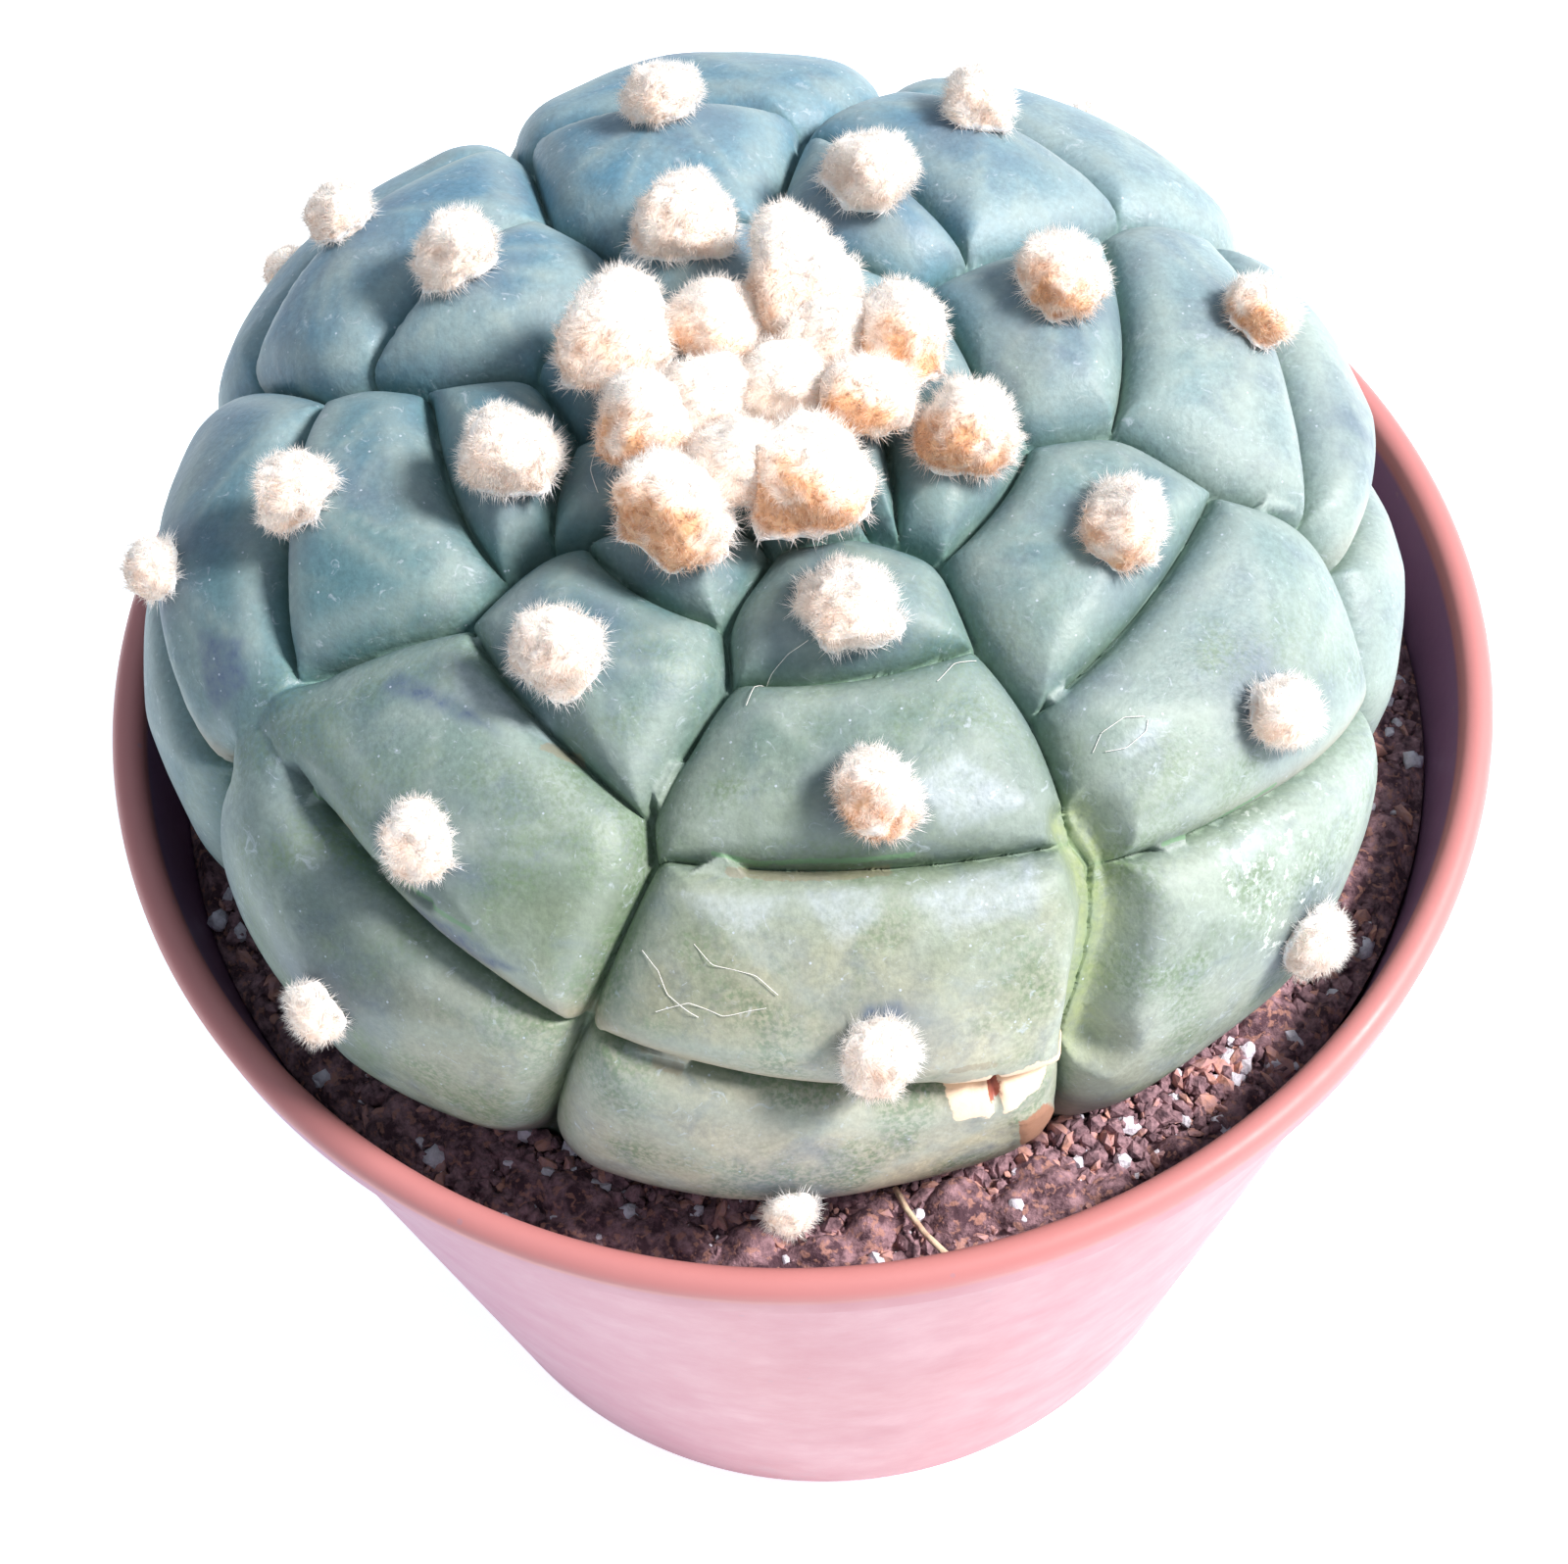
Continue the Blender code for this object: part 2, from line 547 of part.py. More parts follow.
def make_pot(surface):
    """The tapered shell with its rolled lip, foot ring and drain holes."""
    outline = pot_outline()
    work = bmesh.new()
    verts = [work.verts.new((radius, 0.0, height)) for radius, height in outline]
    edges = [work.edges.new(pair) for pair in zip(verts, verts[1:] + verts[:1])]
    on_axis = [edge for edge in edges if all(vert.co.x < 1e-9 for vert in edge.verts)]
    for edge in on_axis:
        work.edges.remove(edge)
        edges.remove(edge)
    bmesh.ops.spin(work, geom=verts + edges, cent=(0, 0, 0), axis=(0, 0, 1), angle=math.tau,
                   steps=POT_SEGMENTS)
    bmesh.ops.remove_doubles(work, verts=work.verts, dist=1e-6)
    bmesh.ops.recalc_face_normals(work, faces=work.faces)
    pot = object_from_bmesh("pot", work, surface)
    cutters = []
    for i in range(DRAIN_HOLES):
        turn = math.tau * i / DRAIN_HOLES
        drill = bmesh.new()
        bmesh.ops.create_cone(drill, cap_ends=True, segments=DRAIN_HOLE_SEGMENTS,
                              radius1=DRAIN_HOLE_RADIUS, radius2=DRAIN_HOLE_RADIUS,
                              depth=DRILL_LENGTH)
        place = Vector((math.cos(turn), math.sin(turn), 0)) * DRAIN_RING_RADIUS
        drill.transform(Matrix.Translation(place + Vector((0, 0, POT_FOOT_RECESS))))
        cutters.append(object_from_bmesh(f"drain_{i}", drill))
    combine(pot, cutters, "DIFFERENCE")
    pot.data.shade_smooth()
    pot.data.set_sharp_from_angle(angle=math.radians(POT_SHARP_ANGLE))
    return pot


def soil_slope(across, degrees):
    """Height of the soil's surface without its crumbs, from the plant (0) to the pot (1)."""
    wave = np.sin(np.radians(degrees * SOIL_WAVES + SOIL_WAVE_START))
    return SOIL_TOP + SOIL_WAVE_HEIGHT * wave - SOIL_FALL * across


def soil_crumbs(points):
    """Round crumbs of grit raised from the soil's surface."""
    chance = random.Random(GRIT_SEED)
    crumbs = np.zeros(len(points))
    for _ in range(GRIT_COUNT):
        turn = chance.uniform(0, math.tau)
        out = chance.uniform(*GRIT_RING)
        size = chance.uniform(*GRIT_RADIUS)
        tall = chance.uniform(*GRIT_HEIGHT)
        away = np.hypot(points[:, 0] - out * math.cos(turn), points[:, 1] - out * math.sin(turn))
        bump = tall * np.sqrt(np.clip(1 - (away / size) ** 2, 0.0, 1.0))
        crumbs = np.maximum(crumbs, bump)
    return crumbs


def soil_hollow_rings(angles):
    """Rings of the hollow round the plant's base and root, from its bottom up to the surface."""
    buried = [float(along) for along in OUTLINE[0][:-2 - len(BURIED_OUTLINE):-1]]
    edge = np.interp(soil_slope(0.0, angles) - GIRTH_HEIGHT, OUTLINE[2][::-1], OUTLINE[0][::-1])
    rings = []
    for distance in (*buried, edge):
        points, normals = on_skin(np.full(len(angles), distance), angles)
        rings.append(points + normals * GAP)
    return rings


def make_soil(surface):
    """The filling of the pot: a crumbly top, and a plain hollow that holds the plant's base."""
    angles = np.linspace(0.0, 360.0, SOIL_COLUMNS, endpoint=False)
    turn = np.radians(angles)
    round_pot = np.stack((np.sin(turn), -np.cos(turn)), axis=-1)
    rings = soil_hollow_rings(angles)
    inner = rings[-1][:, :2]
    outer = round_pot * (float(pot_wall_radius(SOIL_TOP)) - POT_WALL - GAP)
    for row in range(1, SOIL_TOP_ROWS + 1):
        across = row / SOIL_TOP_ROWS
        flat = inner * (1 - across) + outer * across
        fade = min(1.0, (1 - across) / SOIL_EDGE, across / SOIL_EDGE)
        height = soil_slope(across, angles) + soil_crumbs(flat) * fade
        rings.append(np.column_stack((flat, height)))
    floor = POT_FOOT_RECESS + POT_FLOOR + GAP
    corner = floor + POT_INSIDE_ROUNDING
    for radius, height in ((float(pot_wall_radius(corner)) - POT_WALL - GAP, corner),
                           (float(pot_wall_radius(floor)) - POT_WALL - GAP - POT_INSIDE_ROUNDING,
                            floor)):
        rings.append(np.column_stack((round_pot * radius, np.full(len(angles), height))))
    hollow_end = axis_point(GIRTH_HEIGHT + OUTLINE[2][-1] - ROOT_TIP - GAP)
    soil = object_from_bmesh("soil", ring_surface(rings, hollow_end, (0, 0, floor)), surface)
    thin_out(soil, SOIL_KEEP)
    soil.data.shade_smooth()
    return soil


def main():
    clear_scene()
    make_pot(material("terracotta_plastic", (0.72, 0.33, 0.24), 0.5))
    make_soil(material("peat_and_grit", (0.20, 0.12, 0.10), 0.95))
    make_cactus(material("cactus_skin", (0.16, 0.30, 0.24), 0.5))
    make_crown_wool(material("areole_wool", (0.85, 0.76, 0.64), 0.95))


main()
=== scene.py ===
"""Looks of the potted star cactus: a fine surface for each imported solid, and its studio.

Metres, +Z up, front towards -Y, as in the frame. Places on the plant are given as degrees round
its axis (0 at the front, positive towards +X) and millimetres along its skin from the crown.
"""

import math
import random

import bmesh
import bpy
import numpy as np
from mathutils import Matrix, Vector, noise


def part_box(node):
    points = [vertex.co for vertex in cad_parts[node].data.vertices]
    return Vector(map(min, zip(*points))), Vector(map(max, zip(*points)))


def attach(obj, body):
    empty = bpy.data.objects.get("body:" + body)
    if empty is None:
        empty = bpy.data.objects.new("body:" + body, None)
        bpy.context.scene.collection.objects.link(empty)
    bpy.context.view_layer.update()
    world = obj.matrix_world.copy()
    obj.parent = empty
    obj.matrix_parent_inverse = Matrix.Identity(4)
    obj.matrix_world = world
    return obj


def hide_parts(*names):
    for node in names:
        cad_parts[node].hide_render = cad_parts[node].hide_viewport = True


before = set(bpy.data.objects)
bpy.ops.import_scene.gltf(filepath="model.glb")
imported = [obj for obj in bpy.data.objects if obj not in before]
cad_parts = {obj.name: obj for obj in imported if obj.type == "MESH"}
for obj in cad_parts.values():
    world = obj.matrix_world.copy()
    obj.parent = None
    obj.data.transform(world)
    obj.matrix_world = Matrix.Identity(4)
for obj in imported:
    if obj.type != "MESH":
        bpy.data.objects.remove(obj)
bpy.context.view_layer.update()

bl_info = {
    "name": "Potted Star Cactus",
    "version": (1, 0, 0),
    "blender": (4, 5, 0),
    "location": "View3D > Sidebar > Star Cactus",
    "description": "Dresses the packed star cactus: skin, wool, soil, pot and studio",
    "category": "Object",
}

MM = 0.001
BODY = "root"
GAP = 0.3 * MM
LEAST = 1e-9

# Pot, from the frame
POT_LOW, POT_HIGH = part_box("pot")
POT_HEIGHT = POT_HIGH.z
POT_RIM_RADIUS = POT_HIGH.x
POT_LIP_WIDTH = 2.0 * MM
POT_LIP_HEIGHT = 3.2 * MM
POT_LIP_TUCK = 0.3 * MM
POT_WALL = 1.1 * MM
POT_TOP_RADIUS = 41.3 * MM  # outside of the wall just under the lip
POT_FOOT_RADIUS = 29.8 * MM
POT_FOOT_ROUNDING = 1.4 * MM
POT_FOOT_RING_WIDTH = 3.4 * MM
POT_FOOT_RECESS = 1.6 * MM
POT_RECESS_TAPER = 0.5 * MM
POT_FLOOR = 1.4 * MM
POT_INSIDE_ROUNDING = 1.0 * MM
POT_SEGMENTS = 288
POT_LIP_STEPS = 14
POT_ROUNDING_STEPS = 6
DRAIN_HOLES = 6
DRAIN_HOLE_RADIUS = 3.0 * MM
DRAIN_RING_RADIUS = 19.0 * MM
DRAIN_HOLE_SEGMENTS = 32
DRILL_LENGTH = 10 * MM
POT_SHARP_FROM = math.radians(35)
MERGE_WITHIN = 1e-6

# Body of the plant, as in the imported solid
PLANT_CENTRE = Vector((-0.7 * MM, 0.5 * MM))
GIRTH_HEIGHT = POT_HEIGHT + 5.5 * MM
BODY_RADIUS = 37.0 * MM
DOME_HEIGHT = 19.5 * MM
DOME_POWER = 2.4
FLANK_HEIGHT = 14.0 * MM
FLANK_TUCK = 0.12
DOME_STEPS = 400
FLANK_STEPS = 60
BURIED_OUTLINE = ((31.0, 16.5), (26.0, 19.5), (17.0, 23.0), (9.0, 27.0), (5.5, 32.0),
                  (3.6, 39.0), (1.6, 47.0))
BURIED_CELL = 4 * MM
ROOT_TIP = 0.5 * MM
LEAST_ROUND = (12, 16)  # points on a ring of the shown skin, and of the buried base
SLOPE_STEP = 0.3 * MM
# Areoles of each rib, from the crown outwards, and under them the middles of their segments
RIBS = (
    ((13, 8.3), (12, 15.5), (9, 25.5), (5, 38.0), (-3, 50.0)),
    ((-30, 10.8), (-36, 20.0), (-39, 31.5), (-44, 43.5)),
    ((-59, 7.6), (-73, 14.5), (-82, 26.0), (-84, 35.5), (-88, 49.0)),
    ((-102, 8.1), (-123, 20.0), (-127, 30.0), (-131, 44.0)),
    ((-139, 4.0), (-161, 11.8), (-168, 23.5), (-172, 37.0), (-175, 50.0)),
    ((157, 5.3), (155, 15.5), (148, 25.5), (145, 42.0), (142, 52.5)),
    ((97, 7.5), (109, 17.5), (101, 28.5), (92, 36.5), (90, 49.0)),
    ((57, 6.1), (64, 11.2), (60, 21.0), (53, 33.0), (46, 45.5)),
)
MIDDLES = (
    ((-2, 5.5), (3, 14.0), (4, 21.5), (2, 35.0), (-2, 47.5)),
    ((-23, 11.5), (-28, 16.5), (-40, 29.5), (-44, 41.5)),
    ((-64, 7.0), (-88, 16.0), (-84, 21.0), (-89, 34.5), (-88, 45.5)),
    ((-108, 8.0), (-121, 17.5), (-126, 26.5), (-131, 39.5)),
    ((-139, 3.5), (-162, 8.5), (-168, 19.5), (-176, 33.0), (-174, 45.0)),
    ((154, 5.0), (155, 17.5), (151, 20.0), (145, 37.0), (142, 48.5)),
    ((102, 7.0), (104, 16.0), (97, 25.5), (97, 38.0), (90, 45.5)),
    ((61, 5.5), (72, 8.0), (62, 20.0), (59, 28.0), (46, 47.0)),
)
WORN_AREOLES = ((2, 4), (4, 3), (4, 4), (6, 3), (6, 4))
CROWN_REACH = 11.0 * MM
BOW = 1.0 * MM  # how far the cross furrows bow outwards in the middle of a rib
BOW_STARTS = (7.0 * MM, 15.0 * MM)

# Relief of the skin
FAR = 1.0
LEAST_SPAN = 0.5 * MM
RIB_FURROW_DEPTH = 2.6 * MM
RIB_SHOULDER = 3.8 * MM
CROSS_FURROW_DEPTH = 2.0 * MM
OUTER_SHOULDER = 3.4 * MM  # a segment rounds down to its outer neighbour
INNER_SHOULDER = 2.2 * MM  # and starts nearly level after its inner one
CREASE_DEPTH = 0.25 * MM
CREASE_WIDTH = 0.22 * MM
CROWN_PEAK = 1.3 * MM
SEGMENT_PEAKS = (1.2, 1.6, 2.0, 2.0, 1.7, 1.5, 1.5, 1.3)  # of each rib, millimetres
PEAK_CHANGE = (9.0 * MM, 16.0 * MM)
CORNER_ROUNDING = 0.55 * MM
FACET_ROUNDING = 0.03
FACET_SWELL = 1.15
CROWN_PLAIN = (2.0 * MM, 7.0 * MM)
PEAK_ENDS = (50.0 * MM, 57.0 * MM)
FURROW_ENDS = (58.0 * MM, 63.0 * MM)
EDGE_MARGIN = 0.1  # least share of an edge on each side of a crease that cuts it
FINE_REACHES = (0.9 * MM, 0.4 * MM)  # cells nearer to a crease are halved, once and again
LUMPS = ((9.0 * MM, 0.30 * MM), (3.0 * MM, 0.07 * MM))  # size and height of uneven growth
# Places where two segments have grown into one: degrees, millimetres along, reach
GROWN_OVER = ((-63, 34.5, 5.0), (28, 46.5, 3.0))
GROWN_CORE = 0.4

# Small plates wedged in where furrows meet: three corners, then depth under the plain body
PLATES = (
    (((35.0, 22.2), (40.5, 23.2), (36.0, 25.0)), 1.0),
    (((-21.0, 23.2), (-16.0, 22.9), (-17.5, 25.4)), 1.2),
    (((-57.0, 23.4), (-52.0, 21.2), (-50.5, 23.6)), 1.3),
    (((-31.0, 36.0), (-27.0, 34.0), (-25.0, 36.2)), 0.9),
    (((-13.5, 29.3), (-9.0, 27.7), (-6.0, 28.9)), 0.6),
    (((34.5, 33.0), (40.0, 34.4), (38.5, 36.2)), 1.0),
    (((78.0, 29.0), (84.0, 30.0), (80.0, 31.6)), 1.0),
    (((-58.0, 33.2), (-54.0, 33.0), (-54.5, 35.4)), 0.5),
    (((-17.0, 39.6), (-11.0, 39.6), (-12.5, 42.2)), 0.9),
)
PLATE_SLOPE = 4.0
PLATE_ROUNDING = 0.15 * MM
PLATE_BRIM = 0.1 * MM
# Open valley between the ribs at the right of the front: places along its bottom
VALLEY = ((30, 30.6), (30, 32.6), (29, 35.4), (26, 38.9), (24, 42.4), (24, 44.5))
VALLEY_DEPTH = 2.4 * MM
VALLEY_HALF_WIDTH = 0.9 * MM
VALLEY_SLOPE = 1.6
# The right side is flatter than a circle: middle and reach in degrees, then depth
FLATTER_SIDE = (88, 38)
FLATTER_BY = 1.2 * MM
FLATTER_FROM = (25.0 * MM, 40.0 * MM)
TONE_SEED = 5  # of the tints of the segments' facets

# Cracks in the skin: a line of places, then depth and half width
CRACKS = (
    (((-57.5, 34.2), (-54, 34.8), (-51, 34.5), (-45, 35.0), (-37, 34.5)), 0.7, 0.4),
)
# Marks on the skin: each a line of places and its half width
DARK_LINES = (
    (((-10, 27.7), (-5, 28.1), (1, 28.1), (6, 28.4), (12, 28.7)), 0.12),
    (((-56, 34.5), (-52, 34.7), (-48, 34.7), (-45, 35.0), (-37, 34.5), (-32, 34.6)), 0.15),
    (((37, 34.4), (41, 35.3), (45, 35.8), (50, 36.5)), 0.15),
)
CORK_LINES = (
    (((-8, 28.6), (-3, 28.8), (3, 29.0), (9, 29.2)), 0.28),
    (((-33, 24.3), (-29, 24.3)), 0.3),
    (((-51, 34.2), (-48, 34.1)), 0.3),
    (((-14, 40.1), (-12, 40.4)), 0.28),
    (((11, 40.4), (15, 40.9)), 0.25),
)
SCAR_CRACK = (((14.6, 42.6), (15.2, 43.6), (14.8, 44.6)), 0.35)
# Patches on the skin, by their corners, all bulging outwards
# Dark bluish patches: partly marks of the skin, partly painted shadow under ledges and flaps
BRUISES_AND_SHADOWS = (
    ((-56, 26.0), (-50, 25.1), (-42, 24.6), (-38, 24.8), (-43, 25.4), (-50, 26.3), (-55, 27.0)),
    ((-76, 34.6), (-72, 32.4), (-68, 33.4), (-69, 36.6)),
    ((-39, 35.4), (-33, 35.0), (-27, 35.8), (-30, 36.7), (-38, 36.5)),
    ((4, 35.7), (7, 35.7), (9, 36.8), (4, 37.0)),
)
# Pale lavender patches: partly powdery bloom, partly painted highlight on faces that catch the
# light
SHEENS = (
    ((-1, 29.7), (8, 30.0), (7, 31.4), (3, 32.7)),
    ((14, 25.5), (20, 24.4), (26, 28.4), (16, 28.0)),
    ((10, 30.6), (24, 31.0), (22, 33.4), (13, 33.0)),
    ((-13, 30.0), (-2, 30.0), (-6, 32.0)),
    ((-50, 23.2), (-34, 22.9), (-33, 24.0), (-46, 24.8)),
    ((36, 34.6), (40, 36.6), (49, 38.0), (38, 38.4)),
    ((36, 28.2), (42, 28.2), (44, 29.2), (38, 29.2)),
)
SCARS = (
    ((10.5, 42.0), (14.2, 41.8), (14.9, 43.8), (14.4, 45.6), (11, 45.2)),
    ((14.8, 42.4), (18.5, 42.0), (22.5, 43.6), (19.0, 45.0), (15.3, 45.8)),
)
BARK_FLAKE = ((16.5, 46.8), (19.5, 47.2), (21, 50.2), (19, 51.6), (17, 50.6))
FLECKED = ((39, 36.8), (47, 36.8), (51, 39.5), (49, 44.0), (41, 44.5))
PATCH_EDGE = 0.5 * MM
PATCH_REACH = 20 * MM
SCAR_RISE = 0.2 * MM
CLEFT_DEPTH = 0.5 * MM
FLAKE_RISE = 0.3 * MM
MARK_SLOPE = (0.3, 0.6)  # shares of a mark at which its rise starts and ends
CLEFT_SLOPE = (0.3, 0.7)
FRAY_SIZE = 0.5 * MM
FRAY = 0.9
# Reach of the tints on the skin
FURROW_TINT = 0.45 * MM
PLATE_CLEARS = 0.8
RIM_TINT = (1.7 * MM, 0.9 * MM)  # middle and half width
EDGING_TINT = 0.8 * MM
EDGING_STARTS = (33 * MM, 40 * MM)
RIDGE_TINT = 0.04
RIDGE_STARTS = (0.15, 0.4)
TONE_BLEND = 0.03
VALLEY_TINT = (0.3 * MM, 2.4 * MM)
WOOL_TINT = 4.5 * MM
# Loose wool fibres that lie on the skin
LOOSE_FIBRES = (
    ((4, 16.5), (0, 17.0), (-3, 17.7), (-6, 18.6), (-7, 19.8)),
    ((-16, 33.2), (-14, 34.0), (-13, 35.2), (-10, 36.2)),
    ((-14, 36.2), (-11, 35.4), (-8, 36.0), (-4, 35.4)),
    ((-11, 32.4), (-9, 33.4), (-5, 33.8), (-3, 34.8)),
    ((22, 20.5), (26, 19.9), (30, 20.2)),
    ((35, 27.8), (37, 27.2), (40, 27.3), (42, 28.0)),
    ((36, 28.1), (38, 28.6), (41, 28.6), (42, 28.2)),
    ((-57, 11.4), (-64, 11.0), (-70, 10.2)),
)
LOOSE_FIBRE_RADIUS = 0.02 * MM
LOOSE_FIBRE_LIFT = 0.1 * MM
LOOSE_FIBRE_STEPS = 12
LOOSE_FIBRE_SOFTNESS = 0.55
LOOSE_FIBRE_WANDER = (1.2 * MM, 0.15 * MM)  # size and height

# Wool
TUFT_SIZE_CROWN = 2.95 * MM
TUFT_SIZE_OUTER = 2.15 * MM
TUFT_SIZE_ENDS = (8 * MM, 32 * MM)
TUFT_FLATTEN = 0.85
TUFT_LIFT = 0.9 * MM
YOUNG_TUFT_LIFT = 1.7 * MM
CROWN_TUFTS = ((-58, 4.0), (32, 1.7), (114, 3.9), (-15, 7.0))
CROWN_TUFT_GROWTH = 0.9
# Tufts unlike the rest, by rib and number: share of the usual size
GROWTH = {(0, 0): 1.1, (0, 1): 1.05, (0, 4): 0.7, (1, 0): 1.15, (1, 3): 0.85, (2, 3): 0.85,
          (3, 0): 1.05, (3, 3): 0.75, (4, 0): 0.85, (4, 1): 1.1, (5, 0): 1.1, (5, 3): 0.75,
          (6, 0): 0.92, (7, 0): 0.85}
# Share of the tan on each tuft's side away from the key light: partly real staining, partly
# painted shade
STAIN_AND_SHADE = {(1, 0): 1.3, (0, 0): 1.1, (7, 1): 1.4, (7, 0): 1.0, (6, 0): 0.9, (5, 0): 0.6,
          (2, 0): 0.8, (3, 0): 0.5, (4, 0): 0.5, (6, 1): 0.9, (6, 2): 1.2, (7, 2): 0.6,
          (0, 2): 0.9}
USUAL_STAIN_AND_SHADE = 0.3
# Side of every tuft that is tinted tan: away from the key light, so partly painted shade
STAINED_SHADED_SIDE = Vector((-0.45, -0.75, -0.3)).normalized()
DRAWN_OUT = {(5, 0): (-0.1, 0.8, 0.6), (3, 0): (0.15, 0.8, 0.6)}  # tufts that end in a point
CORE_SHARE = 0.86  # of a tuft's half width, the rest of which is its nap
YOUNG_FULLNESS = 1.1
CORE_SUBDIVISIONS = 4
CORE_REACH = 1.15
CORE_PLANES = 12
CORE_CUTS = (0.80, 1.02)  # least and most distance of a flat from the middle
LEAST_SLANT = 0.05
ROUND_SHARE = 0.15
CUT_SHARE = 0.85
POINT_START = 0.4
POINT_LENGTH = 1.1
CORE_LUMPS = ((0.6, 0.12), (0.25, 0.08), (0.1, 0.04))  # size and height
HEM = -0.42  # where the fringe stands out, as an angle under the core's girth
HEM_WAVE = 0.08
HEM_WIDTH = 0.11
SCALLOPS = 7
FLARE = (0.04, 0.26)  # of the whole fringe, then more in its lobes
NECK = 0.25
NECK_RISE = (-0.55, -0.9)
YOUNG_TALLER = (0.0, 0.25)
GROWN_TALLER = 0.05
TALLER_RISE = (0.2, 1.3)
BARE_FOOT = 0.1  # share of the nap that is left under the core
NAP_RISE = (-0.6, -0.3)
STAIN_AND_SHADE_EDGE = (-0.35, 0.75)
STAIN_AND_SHADE_PATCHES = (0.8, 0.9)  # usual strength and how much it varies
FRONT_TURN = 80  # degrees either way from the front, up to which a tuft is in the front piece
WOOL_SEED = 8
STRAND_BENDS = (0.10, 0.28, -0.20)
STRAY = 0.6
LOCK_PUSH = 3.0
STRAND_LENGTHS = (0.55, 1.3)
FRINGE_LONGER = 0.35

# Soil
SOIL_TOP = POT_HEIGHT - 7.0 * MM
SOIL_WAVES = 2
SOIL_WAVE_HEIGHT = 0.6 * MM
SOIL_WAVE_START = 40
SOIL_FALL = 0.5 * MM
SOIL_COLUMNS = 420
SOIL_TOP_ROWS = 26
SOIL_EDGE = 0.15
GRIT_SEED = 21
GRIT_COUNT = 240
GRIT_RING = (34.5 * MM, 40.5 * MM)
GRIT_RADIUS = (1.0 * MM, 2.1 * MM)
GRIT_HEIGHT = (0.6 * MM, 1.9 * MM)
SOIL_GRAIN = (0.9 * MM, 0.35 * MM)  # size and height
STREWN_COLUMNS = 180
STREWN_ROWS = 3
STREWN_LIFT = 0.5 * MM
STREWN_GAP = 1.2 * MM  # between the pot and the middles of the loose crumbs
CRUMB_SHAPES = 5
CRUMB_UNEVEN = (0.7, 1.15)
CRUMB_LENGTH = 1.25
GRAIN_LUMP = 0.35
GRAIN_UNEVEN = 0.6
GRAIN_SHADES = ((0.62, 0.58, 0.62), (0.66, 0.62, 0.68))  # darker tone of small and big grains

# White grains that show on the soil: degrees, millimetres out and up, size
GRAINS = (
    (-20, 35.8, 58.8, 1.5), (10, 36.6, 60.0, 1.3), (16, 37.2, 60.0, 1.7), (59, 38.0, 58.6, 1.6),
    (-24, 35.0, 59.4, 1.0), (-39, 37.3, 58.6, 1.4), (-72, 38.6, 58.8, 1.2), (45, 38.5, 58.9, 0.9),
    (22, 37.8, 59.2, 1.1), (36, 38.2, 58.8, 1.5), (41, 36.6, 58.9, 1.0), (-5, 37.6, 59.3, 0.8),
    (-30, 38.4, 58.9, 0.9), (-52, 38.0, 58.8, 1.3), (69, 37.6, 58.8, 1.2), (80, 38.4, 58.8, 1.3),
)
STRAW = ((5.5, 34.0, 60.2), (6.2, 35.6, 60.4), (7.2, 37.4, 60.9), (8.5, 39.4, 61.9))
STRAW_RADIUS = 0.2 * MM

# Camera, fitted to the pot's lip and foot
PHOTO_LENS = 72
PHOTO_SENSOR = 36
CAMERA_ELEVATION = math.radians(57.84)
CAMERA_ROLL = math.radians(-4.16)
CAMERA_DISTANCE = 0.206
CAMERA_TARGET = Vector((-1.4 * MM, 0.0, 50.94 * MM))
FLOOR_HALF_WIDTH = 3.0


def smooth_step(low, high, value):
    """0 up to the low end, 1 from the high end on, and smooth between."""
    t = np.clip((value - low) / (high - low), 0.0, 1.0)
    return t * t * (3.0 - 2.0 * t)


def soft_least(values, blend):
    """Smooth least of the last axis, which rounds the corners between its branches."""
    least = values.min(axis=-1, keepdims=True)
    total = np.exp(-(values - least) / blend).sum(axis=-1)
    return least[..., 0] - blend * np.log(total)


def shoulder(distance):
    """Share of a furrow's depth at a distance from its crease, where 1 is out on the level."""
    inwards = 1.0 - np.clip(distance, 0.0, 1.0)
    return 1.0 - np.sqrt(1.0 - inwards**2)


def soft_noise(points, size, seed):
    """Smooth noise from -1 to 1 at points, in lumps of about a size."""
    shift = Vector((seed * 7.3, seed * 3.1, seed * 1.7))
    return np.array([noise.noise(Vector(point) / size + shift) for point in points])


def body_outline():
    """Half section of the plant, crown to root tip: distance along the skin, radius, height."""
    turn = np.linspace(math.pi / 2, 0.0, DOME_STEPS)
    radius = BODY_RADIUS * np.cos(turn) ** (2 / DOME_POWER)
    height = DOME_HEIGHT * np.sin(turn) ** (2 / DOME_POWER)
    radius[0] = 0.0
    down = np.linspace(0.0, -FLANK_HEIGHT, FLANK_STEPS)[1:]
    flank = BODY_RADIUS * (1 - FLANK_TUCK * (down / FLANK_HEIGHT) ** 2)
    buried = np.array(BURIED_OUTLINE) * MM
    radius = np.concatenate((radius, flank, buried[:, 0]))
    height = np.concatenate((height, down, -buried[:, 1]))
    along = np.concatenate(([0.0], np.cumsum(np.hypot(np.diff(radius), np.diff(height)))))
    return along, radius, height


OUTLINE = body_outline()


def section(along):
    """Radius and height over the girth of the plain body at distances along its skin."""
    distances, radii, heights = OUTLINE
    return np.interp(along, distances, radii), np.interp(along, distances, heights)


